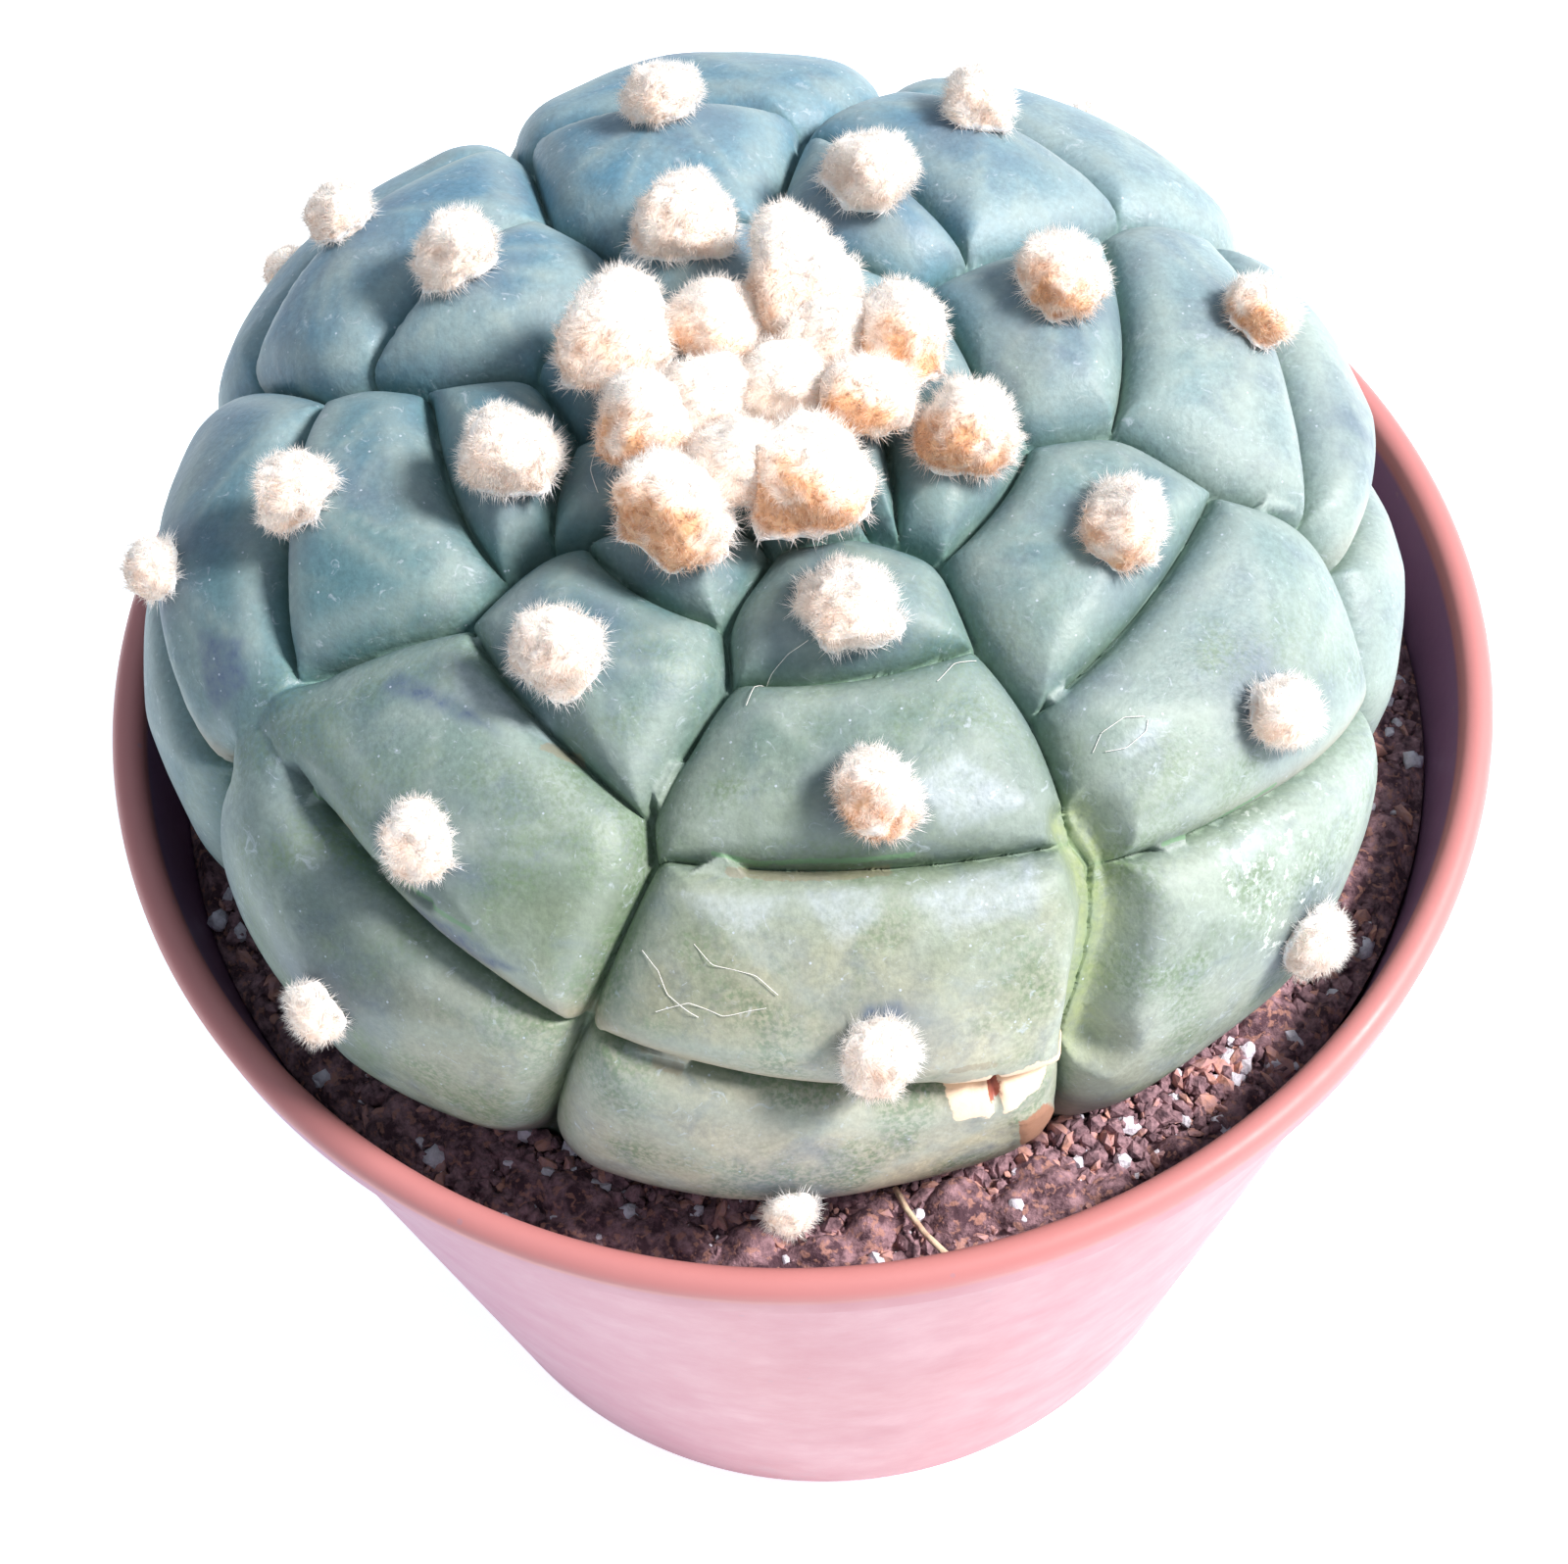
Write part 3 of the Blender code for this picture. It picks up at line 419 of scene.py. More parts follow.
def on_skin(along, degrees):
    """Points on the plain body, the normals there and the directions down along the skin."""
    radius, height = section(along)
    radius_before, height_before = section(np.maximum(along - SLOPE_STEP, 0.0))
    radius_after, height_after = section(along + SLOPE_STEP)
    rise = height_after - height_before
    run = radius_after - radius_before
    length = np.hypot(rise, run)
    outward, upward = -rise / length, run / length
    angle = np.radians(degrees)
    east, south = np.sin(angle), np.cos(angle)
    points = np.stack((PLANT_CENTRE.x + radius * east, PLANT_CENTRE.y - radius * south,
                       GIRTH_HEIGHT + height), axis=-1)
    normals = np.stack((outward * east, -outward * south, upward), axis=-1)
    downhill = np.stack((upward * east, -upward * south, -outward), axis=-1)
    return points, normals, downhill


def places_on_skin(places):
    """Points on the plain body for (degrees, millimetres along) places."""
    table = np.array(places, float)
    return on_skin(table[:, 1] * MM, table[:, 0])[0]


def bowed(along, degrees):
    """Distances along the skin as the cross furrows take them, so that they bow outwards."""
    crests = []
    for row in RIBS:
        places = np.array(row, float)
        bearings = np.degrees(np.unwrap(np.radians(places[:, 0])))
        crests.append(np.interp(along, places[:, 1] * MM, bearings))
    turn = np.abs((degrees - np.array(crests) + 180) % 360 - 180)
    nearest = np.sort(turn, axis=0)
    share = 2 * nearest[0] / (nearest[0] + nearest[1])
    grown = smooth_step(*BOW_STARTS, along) * (1 - smooth_step(*FURROW_ENDS, along))
    return along + BOW * (share**2 - 0.5) * grown


def segments():
    """Middle of each segment, its areole, its rib and its distance from the crown."""
    table = np.array([(rib, *middle, *areole)
                      for rib, (middles, areoles) in enumerate(zip(MIDDLES, RIBS))
                      for middle, areole in zip(middles, areoles)])
    middles = on_skin(table[:, 2] * MM, table[:, 1])[0]
    areoles = on_skin(bowed(table[:, 4] * MM, table[:, 3]), table[:, 3])[0]
    return middles, areoles, table[:, 0].astype(int), table[:, 2] * MM


def square_distances(points, middles):
    """Squares of the distances from each point to each middle."""
    return ((points[:, None, :] - middles[None, :, :]) ** 2).sum(axis=2)


def wall_distances(points, own, middles):
    """Distance from each point to the wall between its own segment and every other one."""
    squares = square_distances(points, middles)
    mine = np.take_along_axis(squares, own[:, None], axis=1)
    spans = np.linalg.norm(middles[:, None, :] - middles[None, :, :], axis=2)
    np.fill_diagonal(spans, 1.0)
    return (squares - mine) / (2 * spans[own])


def line_distance(points, places):
    """Distance from points to a line through places on the skin."""
    line = places_on_skin(places)
    nearest = np.full(len(points), FAR)
    for start, end in zip(line, line[1:]):
        way = end - start
        share = np.clip((points - start) @ way / (way @ way), 0.0, 1.0)
        away = np.linalg.norm(points - start - share[:, None] * way, axis=1)
        nearest = np.minimum(nearest, away)
    return nearest


def line_field(points, lines):
    """1 on any of some (places, half width) lines, 0.5 at its half width, 0 at twice that."""
    field = np.zeros(len(points))
    for places, half_width in lines:
        away = line_distance(points, places) / (half_width * MM)
        field = np.maximum(field, np.clip(1 - 0.5 * away, 0.0, 1.0))
    return field


def plate_reach(points, corners):
    """Distance outside a flat plate with its corners on the skin, less than 0 inside it."""
    spots = places_on_skin(corners)
    middle = spots.mean(axis=0)
    facing = np.cross(spots[1] - spots[0], spots[2] - spots[0])
    reach = np.full(len(points), -FAR)
    for start, end in zip(spots, np.roll(spots, -1, axis=0)):
        out = np.cross(end - start, facing)
        out *= np.sign((start - middle) @ out) / np.linalg.norm(out)
        reach = np.maximum(reach, (points - start) @ out)
    return reach


def patch_field(points, patches):
    """1 inside any of some patches, 0.5 on its outline, 0 away from it."""
    field = np.zeros(len(points))
    for corners in patches:
        inside = np.clip(0.5 - plate_reach(points, corners) / PATCH_EDGE, 0, 1)
        near = distance_to(points, *corners[0]) < PATCH_REACH
        field = np.maximum(field, inside * near)
    return field


def distance_to(points, degrees, along):
    """Distance from points to one place on the skin."""
    spot = places_on_skin(((degrees, along),))[0]
    return np.linalg.norm(points - spot, axis=1)


def grown_over(points):
    """1 where two segments have grown together and their furrow is gone, 0 elsewhere."""
    gone = np.zeros(len(points))
    for degrees, along, reach in GROWN_OVER:
        away = distance_to(points, degrees, along)
        gone = np.maximum(gone, 1 - smooth_step(GROWN_CORE * reach * MM, reach * MM, away))
    return gone


def peak_height(rib, along):
    """Height of a rib's segments at their areoles, the same for all ribs near the crown."""
    share = smooth_step(*PEAK_CHANGE, along)
    tall = CROWN_PEAK * (1 - share) + np.array(SEGMENT_PEAKS)[rib] * MM * share
    return tall * smooth_step(*CROWN_PLAIN, along) * (1 - smooth_step(*PEAK_ENDS, along))


def flatter_side(along, degrees):
    """How far the right side lies inside the round outline."""
    middle, reach = FLATTER_SIDE
    turn = np.abs((degrees - middle + 180) % 360 - 180)
    outwards = smooth_step(*FLATTER_FROM, along) * (1 - smooth_step(*FURROW_ENDS, along))
    return FLATTER_BY * (1 - smooth_step(0.0, reach, turn)) * outwards


def to_nearest_wall(along, degrees):
    """Distance to the nearest furrow's crease."""
    middles = segments()[0]
    squares = square_distances(on_skin(bowed(along, degrees), degrees)[0], middles)
    order = squares.argsort(axis=1)[:, :2]
    near = np.take_along_axis(squares, order, axis=1)
    span = np.linalg.norm(middles[order[:, 0]] - middles[order[:, 1]], axis=1)
    return (near[:, 1] - near[:, 0]) / (2 * span)


def skin_relief(points, along, degrees):
    """Height of the skin over the plain body, and masks for its colours."""
    middles, areoles, ribs, outwards = segments()
    bent = on_skin(bowed(along, degrees), degrees)[0]
    own = square_distances(bent, middles).argmin(axis=1)
    walls = wall_distances(bent, own, middles)
    same_rib = ribs[own][:, None] == ribs[None, :]
    itself = own[:, None] == np.arange(len(middles))[None, :]
    outer = outwards[None, :] > outwards[own][:, None]
    to_rib = soft_least(np.where(same_rib, FAR, walls), CORNER_ROUNDING)
    to_outer = soft_least(np.where(same_rib & outer, walls, FAR), CORNER_ROUNDING)
    to_inner = soft_least(np.where(same_rib & ~outer & ~itself, walls, FAR), CORNER_ROUNDING)
    rib_furrow = RIB_FURROW_DEPTH * shoulder(to_rib / RIB_SHOULDER)
    cross_furrow = CROSS_FURROW_DEPTH * np.maximum(shoulder(to_outer / OUTER_SHOULDER),
                                                   shoulder(to_inner / INNER_SHOULDER))
    edge = np.where(itself, FAR, walls).min(axis=1)
    crease = np.exp(-(edge / CREASE_WIDTH) ** 2)
    peaks = wall_distances(areoles, np.arange(len(middles)), middles)[own]
    share = np.where(itself, FAR / LEAST_SPAN, walls / np.maximum(peaks, LEAST_SPAN))
    facet = np.clip(soft_least(share, FACET_ROUNDING), 0.0, 1.0)
    ranked = np.partition(share, 1, axis=1)
    ridge = np.exp(-(ranked[:, 1] - ranked[:, 0]) / RIDGE_TINT) * smooth_step(*RIDGE_STARTS, facet)
    grown = smooth_step(*CROWN_PLAIN, along)
    open_furrow = (1 - smooth_step(*FURROW_ENDS, along)) * (1 - grown_over(points))
    furrows = (np.maximum(rib_furrow, cross_furrow) + CREASE_DEPTH * crease) * open_furrow
    swelling = 1.0 - (1.0 - facet) ** FACET_SWELL
    height = peak_height(ribs[own], along) * swelling - furrows * grown
    plates = np.zeros(len(points))
    for corners, depth in PLATES:
        reach = plate_reach(points, corners)
        level = -depth * MM - PLATE_SLOPE * np.maximum(reach, 0.0)
        plates = np.maximum(plates, (reach < PLATE_BRIM) & (level >= height))
        height = -soft_least(np.stack((-height, -level), axis=-1), PLATE_ROUNDING)
    from_bottom = np.maximum(line_distance(points, VALLEY) - VALLEY_HALF_WIDTH, 0.0)
    height = np.minimum(height, VALLEY_SLOPE * from_bottom - VALLEY_DEPTH)
    height -= flatter_side(along, degrees)
    for number, (size, bulge) in enumerate(LUMPS):
        height += grown * bulge * soft_noise(points, size, number)
    for places, depth, half_width in CRACKS:
        height -= depth * MM * np.exp(-(line_distance(points, places) / (half_width * MM)) ** 2)
    scar = patch_field(points, SCARS)
    flake = patch_field(points, (BARK_FLAKE,))
    cleft = line_field(points, (SCAR_CRACK,))
    for mark, rise, slope in ((scar, SCAR_RISE, MARK_SLOPE), (cleft, -CLEFT_DEPTH, CLEFT_SLOPE),
                              (flake, FLAKE_RISE, MARK_SLOPE)):
        height += rise * smooth_step(*slope, mark)
    weight = np.exp(-(share - share.min(axis=1, keepdims=True)) / TONE_BLEND)
    chance = np.random.default_rng(TONE_SEED).random((len(middles), len(middles)))
    tone = (weight * chance[own]).sum(axis=1) / weight.sum(axis=1)
    rim_middle, rim_width = RIM_TINT
    masks = {
        "furrow": np.exp(-edge / FURROW_TINT) * open_furrow * (1 - PLATE_CLEARS * plates),
        "rim": np.exp(-((edge - rim_middle) / rim_width) ** 2) * open_furrow,
        "edging": np.exp(-(to_outer / EDGING_TINT - 1) ** 2) * smooth_step(*EDGING_STARTS, along),
        "ridge": ridge,
        "tone": tone,
        "plate": plates,
        "valley": 1 - smooth_step(*VALLEY_TINT, line_distance(points, VALLEY)),
        "near_wool": np.exp(-np.linalg.norm(bent - areoles[own], axis=1) / WOOL_TINT),
        "line": line_field(points, DARK_LINES),
        "cork": line_field(points, CORK_LINES),
        # dark patches, partly painted shadow
        "bruise": patch_field(points, BRUISES_AND_SHADOWS),
        # pale patches, partly painted highlight
        "sheen": patch_field(points, SHEENS),
        "scar": scar,
        "cleft": cleft,
        "flake": flake,
        "flecks": patch_field(points, (FLECKED,)),
    }
    return height, masks


def ring_table(distances, cell, least):
    """Places on rings round the plant, each with as many points as keep its cells even."""
    along, degrees, starts, counts = [], [], [], []
    for number, distance in enumerate(distances):
        count = max(least, round(math.tau * float(section(distance)[0]) / cell))
        starts.append(sum(counts))
        counts.append(count)
        along.append(np.full(count, distance))
        degrees.append((np.arange(count) + 0.5 * (number % 2)) * 360.0 / count)
    return np.concatenate(along), np.concatenate(degrees), starts, counts


def crossing(points, along, ends):
    """Share of each edge at which it crosses a crease, or one half where it crosses none."""
    degrees = bearing(points)
    squares = square_distances(on_skin(bowed(along, degrees), degrees)[0], segments()[0])
    own = squares.argmin(axis=1)
    start, end = ends.T
    lead_start = squares[start, own[end]] - squares[start, own[start]]
    lead_end = squares[end, own[end]] - squares[end, own[start]]
    share = lead_start / np.where(own[start] == own[end], FAR, lead_start - lead_end)
    crosses = (own[start] != own[end]) & (share > EDGE_MARGIN) & (share < 1 - EDGE_MARGIN)
    return np.where(crosses, share, 0.5)


def halve_near(points, along, faces, reach):
    """Halve the edges that lie nearer than a reach to a crease, a plate or a crack."""
    pairs = np.sort(faces[:, ((0, 1), (1, 2), (2, 0))], axis=2).reshape(-1, 2)
    keys, which = np.unique(pairs[:, 0] * len(points) + pairs[:, 1], return_inverse=True)
    ends = np.stack((keys // len(points), keys % len(points)), axis=-1)
    share = crossing(points, along, ends)[:, None]
    middle = points[ends[:, 0]] * (1 - share) + points[ends[:, 1]] * share
    middle_along = along[ends[:, 0]] * (1 - share[:, 0]) + along[ends[:, 1]] * share[:, 0]
    away = to_nearest_wall(middle_along, bearing(middle))
    for corners, _ in PLATES:
        away = np.minimum(away, np.abs(plate_reach(middle, corners)))
    for places, *_ in (*CRACKS, SCAR_CRACK, *DARK_LINES):
        away = np.minimum(away, line_distance(middle, places))
    inside = (middle_along > CROWN_PLAIN[0]) & (middle_along < FURROW_ENDS[0])
    chosen = (away < reach) & inside
    new = np.where(chosen, len(points) + np.cumsum(chosen) - 1, -1)
    new_on = new[which].reshape(-1, 3)
    split = new_on >= 0
    count = split.sum(axis=1)
    first = np.where(count == 1, split.argmax(axis=1), np.where(count == 2,
                     ((~split).argmax(axis=1) + 1) % 3, 0))
    turn = (first[:, None] + np.arange(3)) % 3
    a, b, c = np.take_along_axis(faces, turn, axis=1).T
    ab, bc, ca = np.take_along_axis(new_on, turn, axis=1).T
    patterns = {
        0: ((a, b, c),),
        1: ((a, ab, c), (ab, b, c)),
        2: ((ab, b, bc), (a, ab, bc), (a, bc, c)),
        3: ((a, ab, ca), (ab, b, bc), (ca, bc, c), (ab, bc, ca)),
    }
    halved = [np.stack(corners, axis=-1)[count == kind] for kind, made in patterns.items()
              for corners in made]
    return (np.vstack((points, middle[chosen])), np.concatenate((along, middle_along[chosen])),
            np.concatenate(halved))


def bearing(points):
    """Degrees round the plant's axis, 0 at the front and positive towards +X."""
    return np.degrees(np.arctan2(points[:, 0] - PLANT_CENTRE.x, PLANT_CENTRE.y - points[:, 1]))


def stitch(starts, counts, offsets):
    """Triangles between rings with unlike numbers of points, facing out."""
    faces = []
    for upper in range(len(counts) - 1):
        lower = upper + 1
        a, b = 0, 0
        while a < counts[upper] or b < counts[lower]:
            here_a, here_b = starts[upper] + a % counts[upper], starts[lower] + b % counts[lower]
            turn_a = (a + 1 + offsets[upper]) / counts[upper]
            turn_b = (b + 1 + offsets[lower]) / counts[lower]
            if b >= counts[lower] or (a < counts[upper] and turn_a <= turn_b):
                faces.append((here_a, here_b, starts[upper] + (a + 1) % counts[upper]))
                a += 1
            else:
                faces.append((here_a, here_b, starts[lower] + (b + 1) % counts[lower]))
                b += 1
    return faces


def mesh_object(name, points, faces, surface, masks=None):
    """A smooth piece from points and faces, with its masks stored on its points."""
    mesh = bpy.data.meshes.new(name)
    mesh.from_pydata([tuple(point) for point in points], [], faces)
    for mask, values in (masks or {}).items():
        stored = mesh.attributes.new(mask, "FLOAT", "POINT")
        stored.data.foreach_set("value", np.asarray(values, np.float32))
    if surface is not None:
        mesh.materials.append(surface)
    mesh.shade_smooth()
    made = bpy.data.objects.new(name, mesh)
    bpy.context.scene.collection.objects.link(made)
    return made


def dress(piece, node):
    """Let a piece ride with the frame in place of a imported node, or beside the nodes."""
    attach(piece, BODY)
    if node is not None:
        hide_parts(node)
    return piece


def set_inputs(tree, node, values):
    """Give a value or a link to each of some inputs of a node."""
    for key, value in values.items():
        if isinstance(value, bpy.types.NodeSocket):
            tree.links.new(value, node.inputs[key])
        else:
            node.inputs[key].default_value = value


def add_node(tree, kind, values=None, **settings):
    """A node with its settings and its inputs."""
    node = tree.nodes.new(kind)
    for key, value in settings.items():
        setattr(node, key, value)
    set_inputs(tree, node, values or {})
    return node


def math_node(tree, operation, first, second=0.0, third=0.0):
    values = {0: first, 1: second, 2: third}
    return add_node(tree, "ShaderNodeMath", values, operation=operation).outputs[0]


def map_range(tree, value, low, high, to_low=0.0, to_high=1.0):
    values = {"Value": value, "From Min": low, "From Max": high, "To Min": to_low,
              "To Max": to_high}
    return add_node(tree, "ShaderNodeMapRange", values).outputs["Result"]


def mix_colour(tree, share, first, second, blend="MIX"):
    """Socket of a mix of two colours, each a socket or three numbers."""
    values = {0: share}
    for key, colour in ((6, first), (7, second)):
        values[key] = colour if isinstance(colour, bpy.types.NodeSocket) else (*colour, 1.0)
    node = add_node(tree, "ShaderNodeMix", values, data_type="RGBA", blend_type=blend)
    return node.outputs[2]


def tinted(tree, colour, where, strength, tint):
    """A colour that turns into a tint where a socket is 1, as far as the strength says."""
    return mix_colour(tree, math_node(tree, "MULTIPLY", where, strength), colour, tint)


def mask_socket(tree, name):
    """Socket of a mask that is stored on a piece's points."""
    return add_node(tree, "ShaderNodeAttribute", attribute_name=name).outputs["Fac"]


def noise_socket(tree, place, size, detail=2.0, roughness=0.5, distortion=0.0):
    """Noise from 0 to 1 in lumps of about a size."""
    values = {"Vector": place, "Scale": 1 / size, "Detail": detail, "Roughness": roughness,
              "Distortion": distortion}
    return add_node(tree, "ShaderNodeTexNoise", values).outputs["Fac"]


def new_material(name):
    """A material, its tree, its shader and the place it reads."""
    made = bpy.data.materials.new(name)
    made.use_nodes = True
    tree = made.node_tree
    place = add_node(tree, "ShaderNodeTexCoord").outputs["Object"]
    return made, tree, tree.nodes["Principled BSDF"], place


def bump(tree, height, strength, distance, below=None):
    """Normal of a fine relief, laid over another one where that is given."""
    values = {"Height": height, "Strength": strength, "Distance": distance}
    if below is not None:
        values["Normal"] = below
    return add_node(tree, "ShaderNodeBump", values).outputs["Normal"]


def ragged(tree, place, name):
    """A stored mark with a crisp, uneven edge at its half width."""
    wander = noise_socket(tree, place, FRAY_SIZE, 4.0, 0.65)
    wander = math_node(tree, "SUBTRACT", wander, 0.5)
    edge = math_node(tree, "MULTIPLY_ADD", wander, FRAY, mask_socket(tree, name))
    return map_range(tree, edge, 0.44, 0.56)


def skin_material(looks):
    """Waxy grey-green skin: blue-green to khaki, mottled, with sheen, cork, bruises and scars,
    bluer on top as painted sky reflection, paler on the right as painted light, darker on the left
    and round the tufts as painted shade.
    """
    made, tree, shader, place = new_material("cactus_skin")
    part = add_node(tree, "ShaderNodeSeparateXYZ", {0: place}).outputs
    patchy = noise_socket(tree, place, 12 * MM, 3.0, 0.6)
    forward = math_node(tree, "MULTIPLY_ADD", patchy, 14 * MM, part["Y"])
    aside = math_node(tree, "MULTIPLY_ADD", patchy, 14 * MM, part["X"])
    tone = mask_socket(tree, "tone")
    cloud = noise_socket(tree, place, 5 * MM, 4.0, 0.6, 0.4)
    smoke = noise_socket(tree, place, 3.2 * MM, 5.0, 0.65, 0.6)
    # Partly painted reflection: bluer on the top and back, the skin's own glaucous tone mixed with
    # a tint that stands in for the bluish sky light there
    green = map_range(tree, part["Z"], 82 * MM, 68 * MM)
    green = math_node(tree, "MAXIMUM", green, map_range(tree, forward, 20 * MM, 2 * MM))
    colour = mix_colour(tree, green, looks.blue, looks.teal)
    # Where each broad tint starts and where it is full, then how strong it is there
    for where, start, full, strength, tint in (
            (forward, -4 * MM, -20 * MM, 1.0, looks.olive),
            (forward, -21 * MM, -31 * MM, 1.0, looks.khaki),
            # Painted light: paler towards +X, where the key light falls
            (aside, 14 * MM, 46 * MM, 0.75, looks.pale),
            # Painted shade: darker towards -X, away from the key light
            (aside, -12 * MM, -38 * MM, 0.35, looks.bruise),
            (tone, 0.5, 1.0, 0.22, looks.pale),
            (tone, 0.5, 0.0, 0.22, looks.bruise),
            (cloud, 0.45, 0.75, 0.5, looks.pale),
            (smoke, 0.5, 0.75, 0.5, looks.bruise)):
        share = map_range(tree, where, start, full, 0.0, strength)
        colour = mix_colour(tree, share, colour, tint)
    leafy = map_range(tree, noise_socket(tree, place, 4.5 * MM, 3.0), 0.45, 0.62)
    leafy = math_node(tree, "MULTIPLY", leafy, map_range(tree, forward, 0.0, -16 * MM))
    stipple = map_range(tree, noise_socket(tree, place, 0.3 * MM, 2.0, 0.6), 0.42, 0.6, 0.1, 0.75)
    colour = tinted(tree, colour, leafy, stipple, looks.leaf)
    speckle = map_range(tree, noise_socket(tree, place, 0.4 * MM, 3.0, 0.7), 0.35, 0.7, 0.8, 1.2)
    grain = add_node(tree, "ShaderNodeCombineXYZ", {0: speckle, 1: speckle, 2: speckle})
    speckled = mix_colour(tree, 1.0, colour, grain.outputs[0], "MULTIPLY")
    colour = mix_colour(tree, 0.7, colour, speckled)
    fine_lines = map_range(tree, noise_socket(tree, place, 1.1 * MM, 6.0, 0.7, 1.5), 0.60, 0.68)
    colour = tinted(tree, colour, fine_lines, 0.42, looks.sheen)
    for name, strength in (("ridge", 0.42), ("rim", 0.32)):
        colour = tinted(tree, colour, mask_socket(tree, name), strength, looks.pale)
    # Painted shade mixed with the skin's own purple tint: darker round each areole, standing in
    # for the soft shadows of the tufts
    tuft_shade_and_tint = math_node(tree, "MULTIPLY", mask_socket(tree, "near_wool"),
                           noise_socket(tree, place, 4 * MM, 2.0))
    tuft_shade_and_tint = map_range(tree, tuft_shade_and_tint, 0.16, 0.42, 0.0, 0.6)
    colour = mix_colour(tree, tuft_shade_and_tint, colour, looks.bruise)
    patch_breakup = map_range(tree, noise_socket(tree, place, 0.8 * MM, 5.0, 0.7), 0.35, 0.65, 0.35, 1.0)
    # The dark bruise patches are partly painted shadow
    for name, strength, tint in (("valley", 0.65, looks.lime), ("bruise", 1.0, looks.bruise),
                                 # the sheen patches are partly painted highlight
                                 ("sheen", 0.38, looks.sheen), ("plate", 0.45, looks.pale)):
        mark = math_node(tree, "MULTIPLY", mask_socket(tree, name), patch_breakup)
        colour = tinted(tree, colour, mark, strength, tint)
    colour = tinted(tree, colour, mask_socket(tree, "edging"), 0.55, looks.edging)
    furrow = math_node(tree, "POWER", mask_socket(tree, "furrow"), 1.6)
    colour = tinted(tree, colour, furrow, 0.4, looks.furrow)
    for name, strength, tint in (("line", 0.85, looks.furrow), ("cork", 0.5, looks.cork),
                                 ("scar", 0.95, looks.scar), ("cleft", 0.9, looks.cleft),
                                 ("flake", 0.85, looks.bark)):
        colour = tinted(tree, colour, ragged(tree, place, name), strength, tint)
    flecks = add_node(tree, "ShaderNodeTexVoronoi", {"Vector": place, "Scale": 1 / (1.2 * MM)})
    dots = math_node(tree, "LESS_THAN", flecks.outputs["Distance"], 0.06)
    colour = tinted(tree, colour, dots, 0.6, looks.sheen)
    scale_bits = map_range(tree, noise_socket(tree, place, 0.7 * MM, 5.0, 0.65), 0.56, 0.64)
    scale_bits = math_node(tree, "MULTIPLY", scale_bits, mask_socket(tree, "flecks"))
    colour = tinted(tree, colour, scale_bits, 0.6, looks.flecks)
    pores = bump(tree, noise_socket(tree, place, 0.22 * MM, 2.0), 0.3, 0.06 * MM)
    dimples = bump(tree, noise_socket(tree, place, 0.9 * MM, 3.0), 0.45, 0.16 * MM, pores)
    set_inputs(tree, shader, {
        "Base Color": colour, "Roughness": map_range(tree, cloud, 0.45, 0.75, 0.48, 0.65),
        "Specular IOR Level": 0.35, "Normal": dimples})
    return made


def wool_material(name, looks):
    """Felted wool: cream, tan on the side away from the key light as real staining and painted
    shade, white at the fringe.
    """
    made, tree, shader, place = new_material(name)
    mottle = noise_socket(tree, place, 0.8 * MM, 3.0, 0.6)
    stain = math_node(tree, "MULTIPLY", mask_socket(tree, "stain"),
                      map_range(tree, mottle, 0.3, 0.65, 0.6, 1.3))
    colour = mix_colour(tree, map_range(tree, stain, 0.0, 0.8), looks.cream, looks.tan)
    # Deeper brown within the tan, so also partly painted shade
    deep = map_range(tree, noise_socket(tree, place, 0.45 * MM, 2.0), 0.45, 0.7, 0.0, 0.8)
    deep = math_node(tree, "MULTIPLY", deep, map_range(tree, stain, 0.4, 1.0))
    colour = mix_colour(tree, deep, colour, looks.brown)
    fringe = map_range(tree, mask_socket(tree, "fringe"), 0.3, 1.0, 0.0, 0.9)
    colour = mix_colour(tree, fringe, colour, looks.white)
    felt = bump(tree, noise_socket(tree, place, 0.12 * MM, 3.0), 0.6, 0.08 * MM)
    # Painted light: the emission makes the wool glow brighter than the lamps light it
    set_inputs(tree, shader, {
        "Base Color": colour, "Emission Color": colour, "Emission Strength": looks.painted_glow,
        "Roughness": 0.95, "Specular IOR Level": 0.1, "Sheen Weight": 0.3, "Sheen Roughness": 0.6,
        "Subsurface Weight": 0.4, "Subsurface Radius": (1.0, 0.75, 0.55),
        "Subsurface Scale": 0.9 * MM, "Normal": felt})
    return made


def soil_material(looks):
    """Damp peat: dark brown crumbs with paler and redder fibres."""
    made, tree, shader, place = new_material("peat_and_grit")
    lumps = noise_socket(tree, place, 1.2 * MM, 5.0, 0.65)
    colour = mix_colour(tree, map_range(tree, lumps, 0.42, 0.66), looks.peat, looks.peat_light)
    bits = map_range(tree, noise_socket(tree, place, 0.5 * MM, 2.0), 0.55, 0.63)
    colour = tinted(tree, colour, bits, 0.6, looks.fibre)
    crumbs = bump(tree, noise_socket(tree, place, 0.3 * MM, 4.0, 0.7), 0.9, 0.25 * MM)
    set_inputs(tree, shader, {"Base Color": colour, "Roughness": 0.9, "Specular IOR Level": 0.25,
                              "Normal": crumbs})
    return made


def plain_grain_material(name, light, dark, size):
    """Dry matter in two mottled tones: perlite, straw or bark."""
    made, tree, shader, place = new_material(name)
    mottle = map_range(tree, noise_socket(tree, place, size, 4.0, 0.6), 0.35, 0.7)
    pits = bump(tree, noise_socket(tree, place, size / 3, 3.0), 0.7, 0.15 * MM)
    set_inputs(tree, shader, {"Base Color": mix_colour(tree, mottle, light, dark),
                              "Roughness": 0.85, "Normal": pits})
    return made


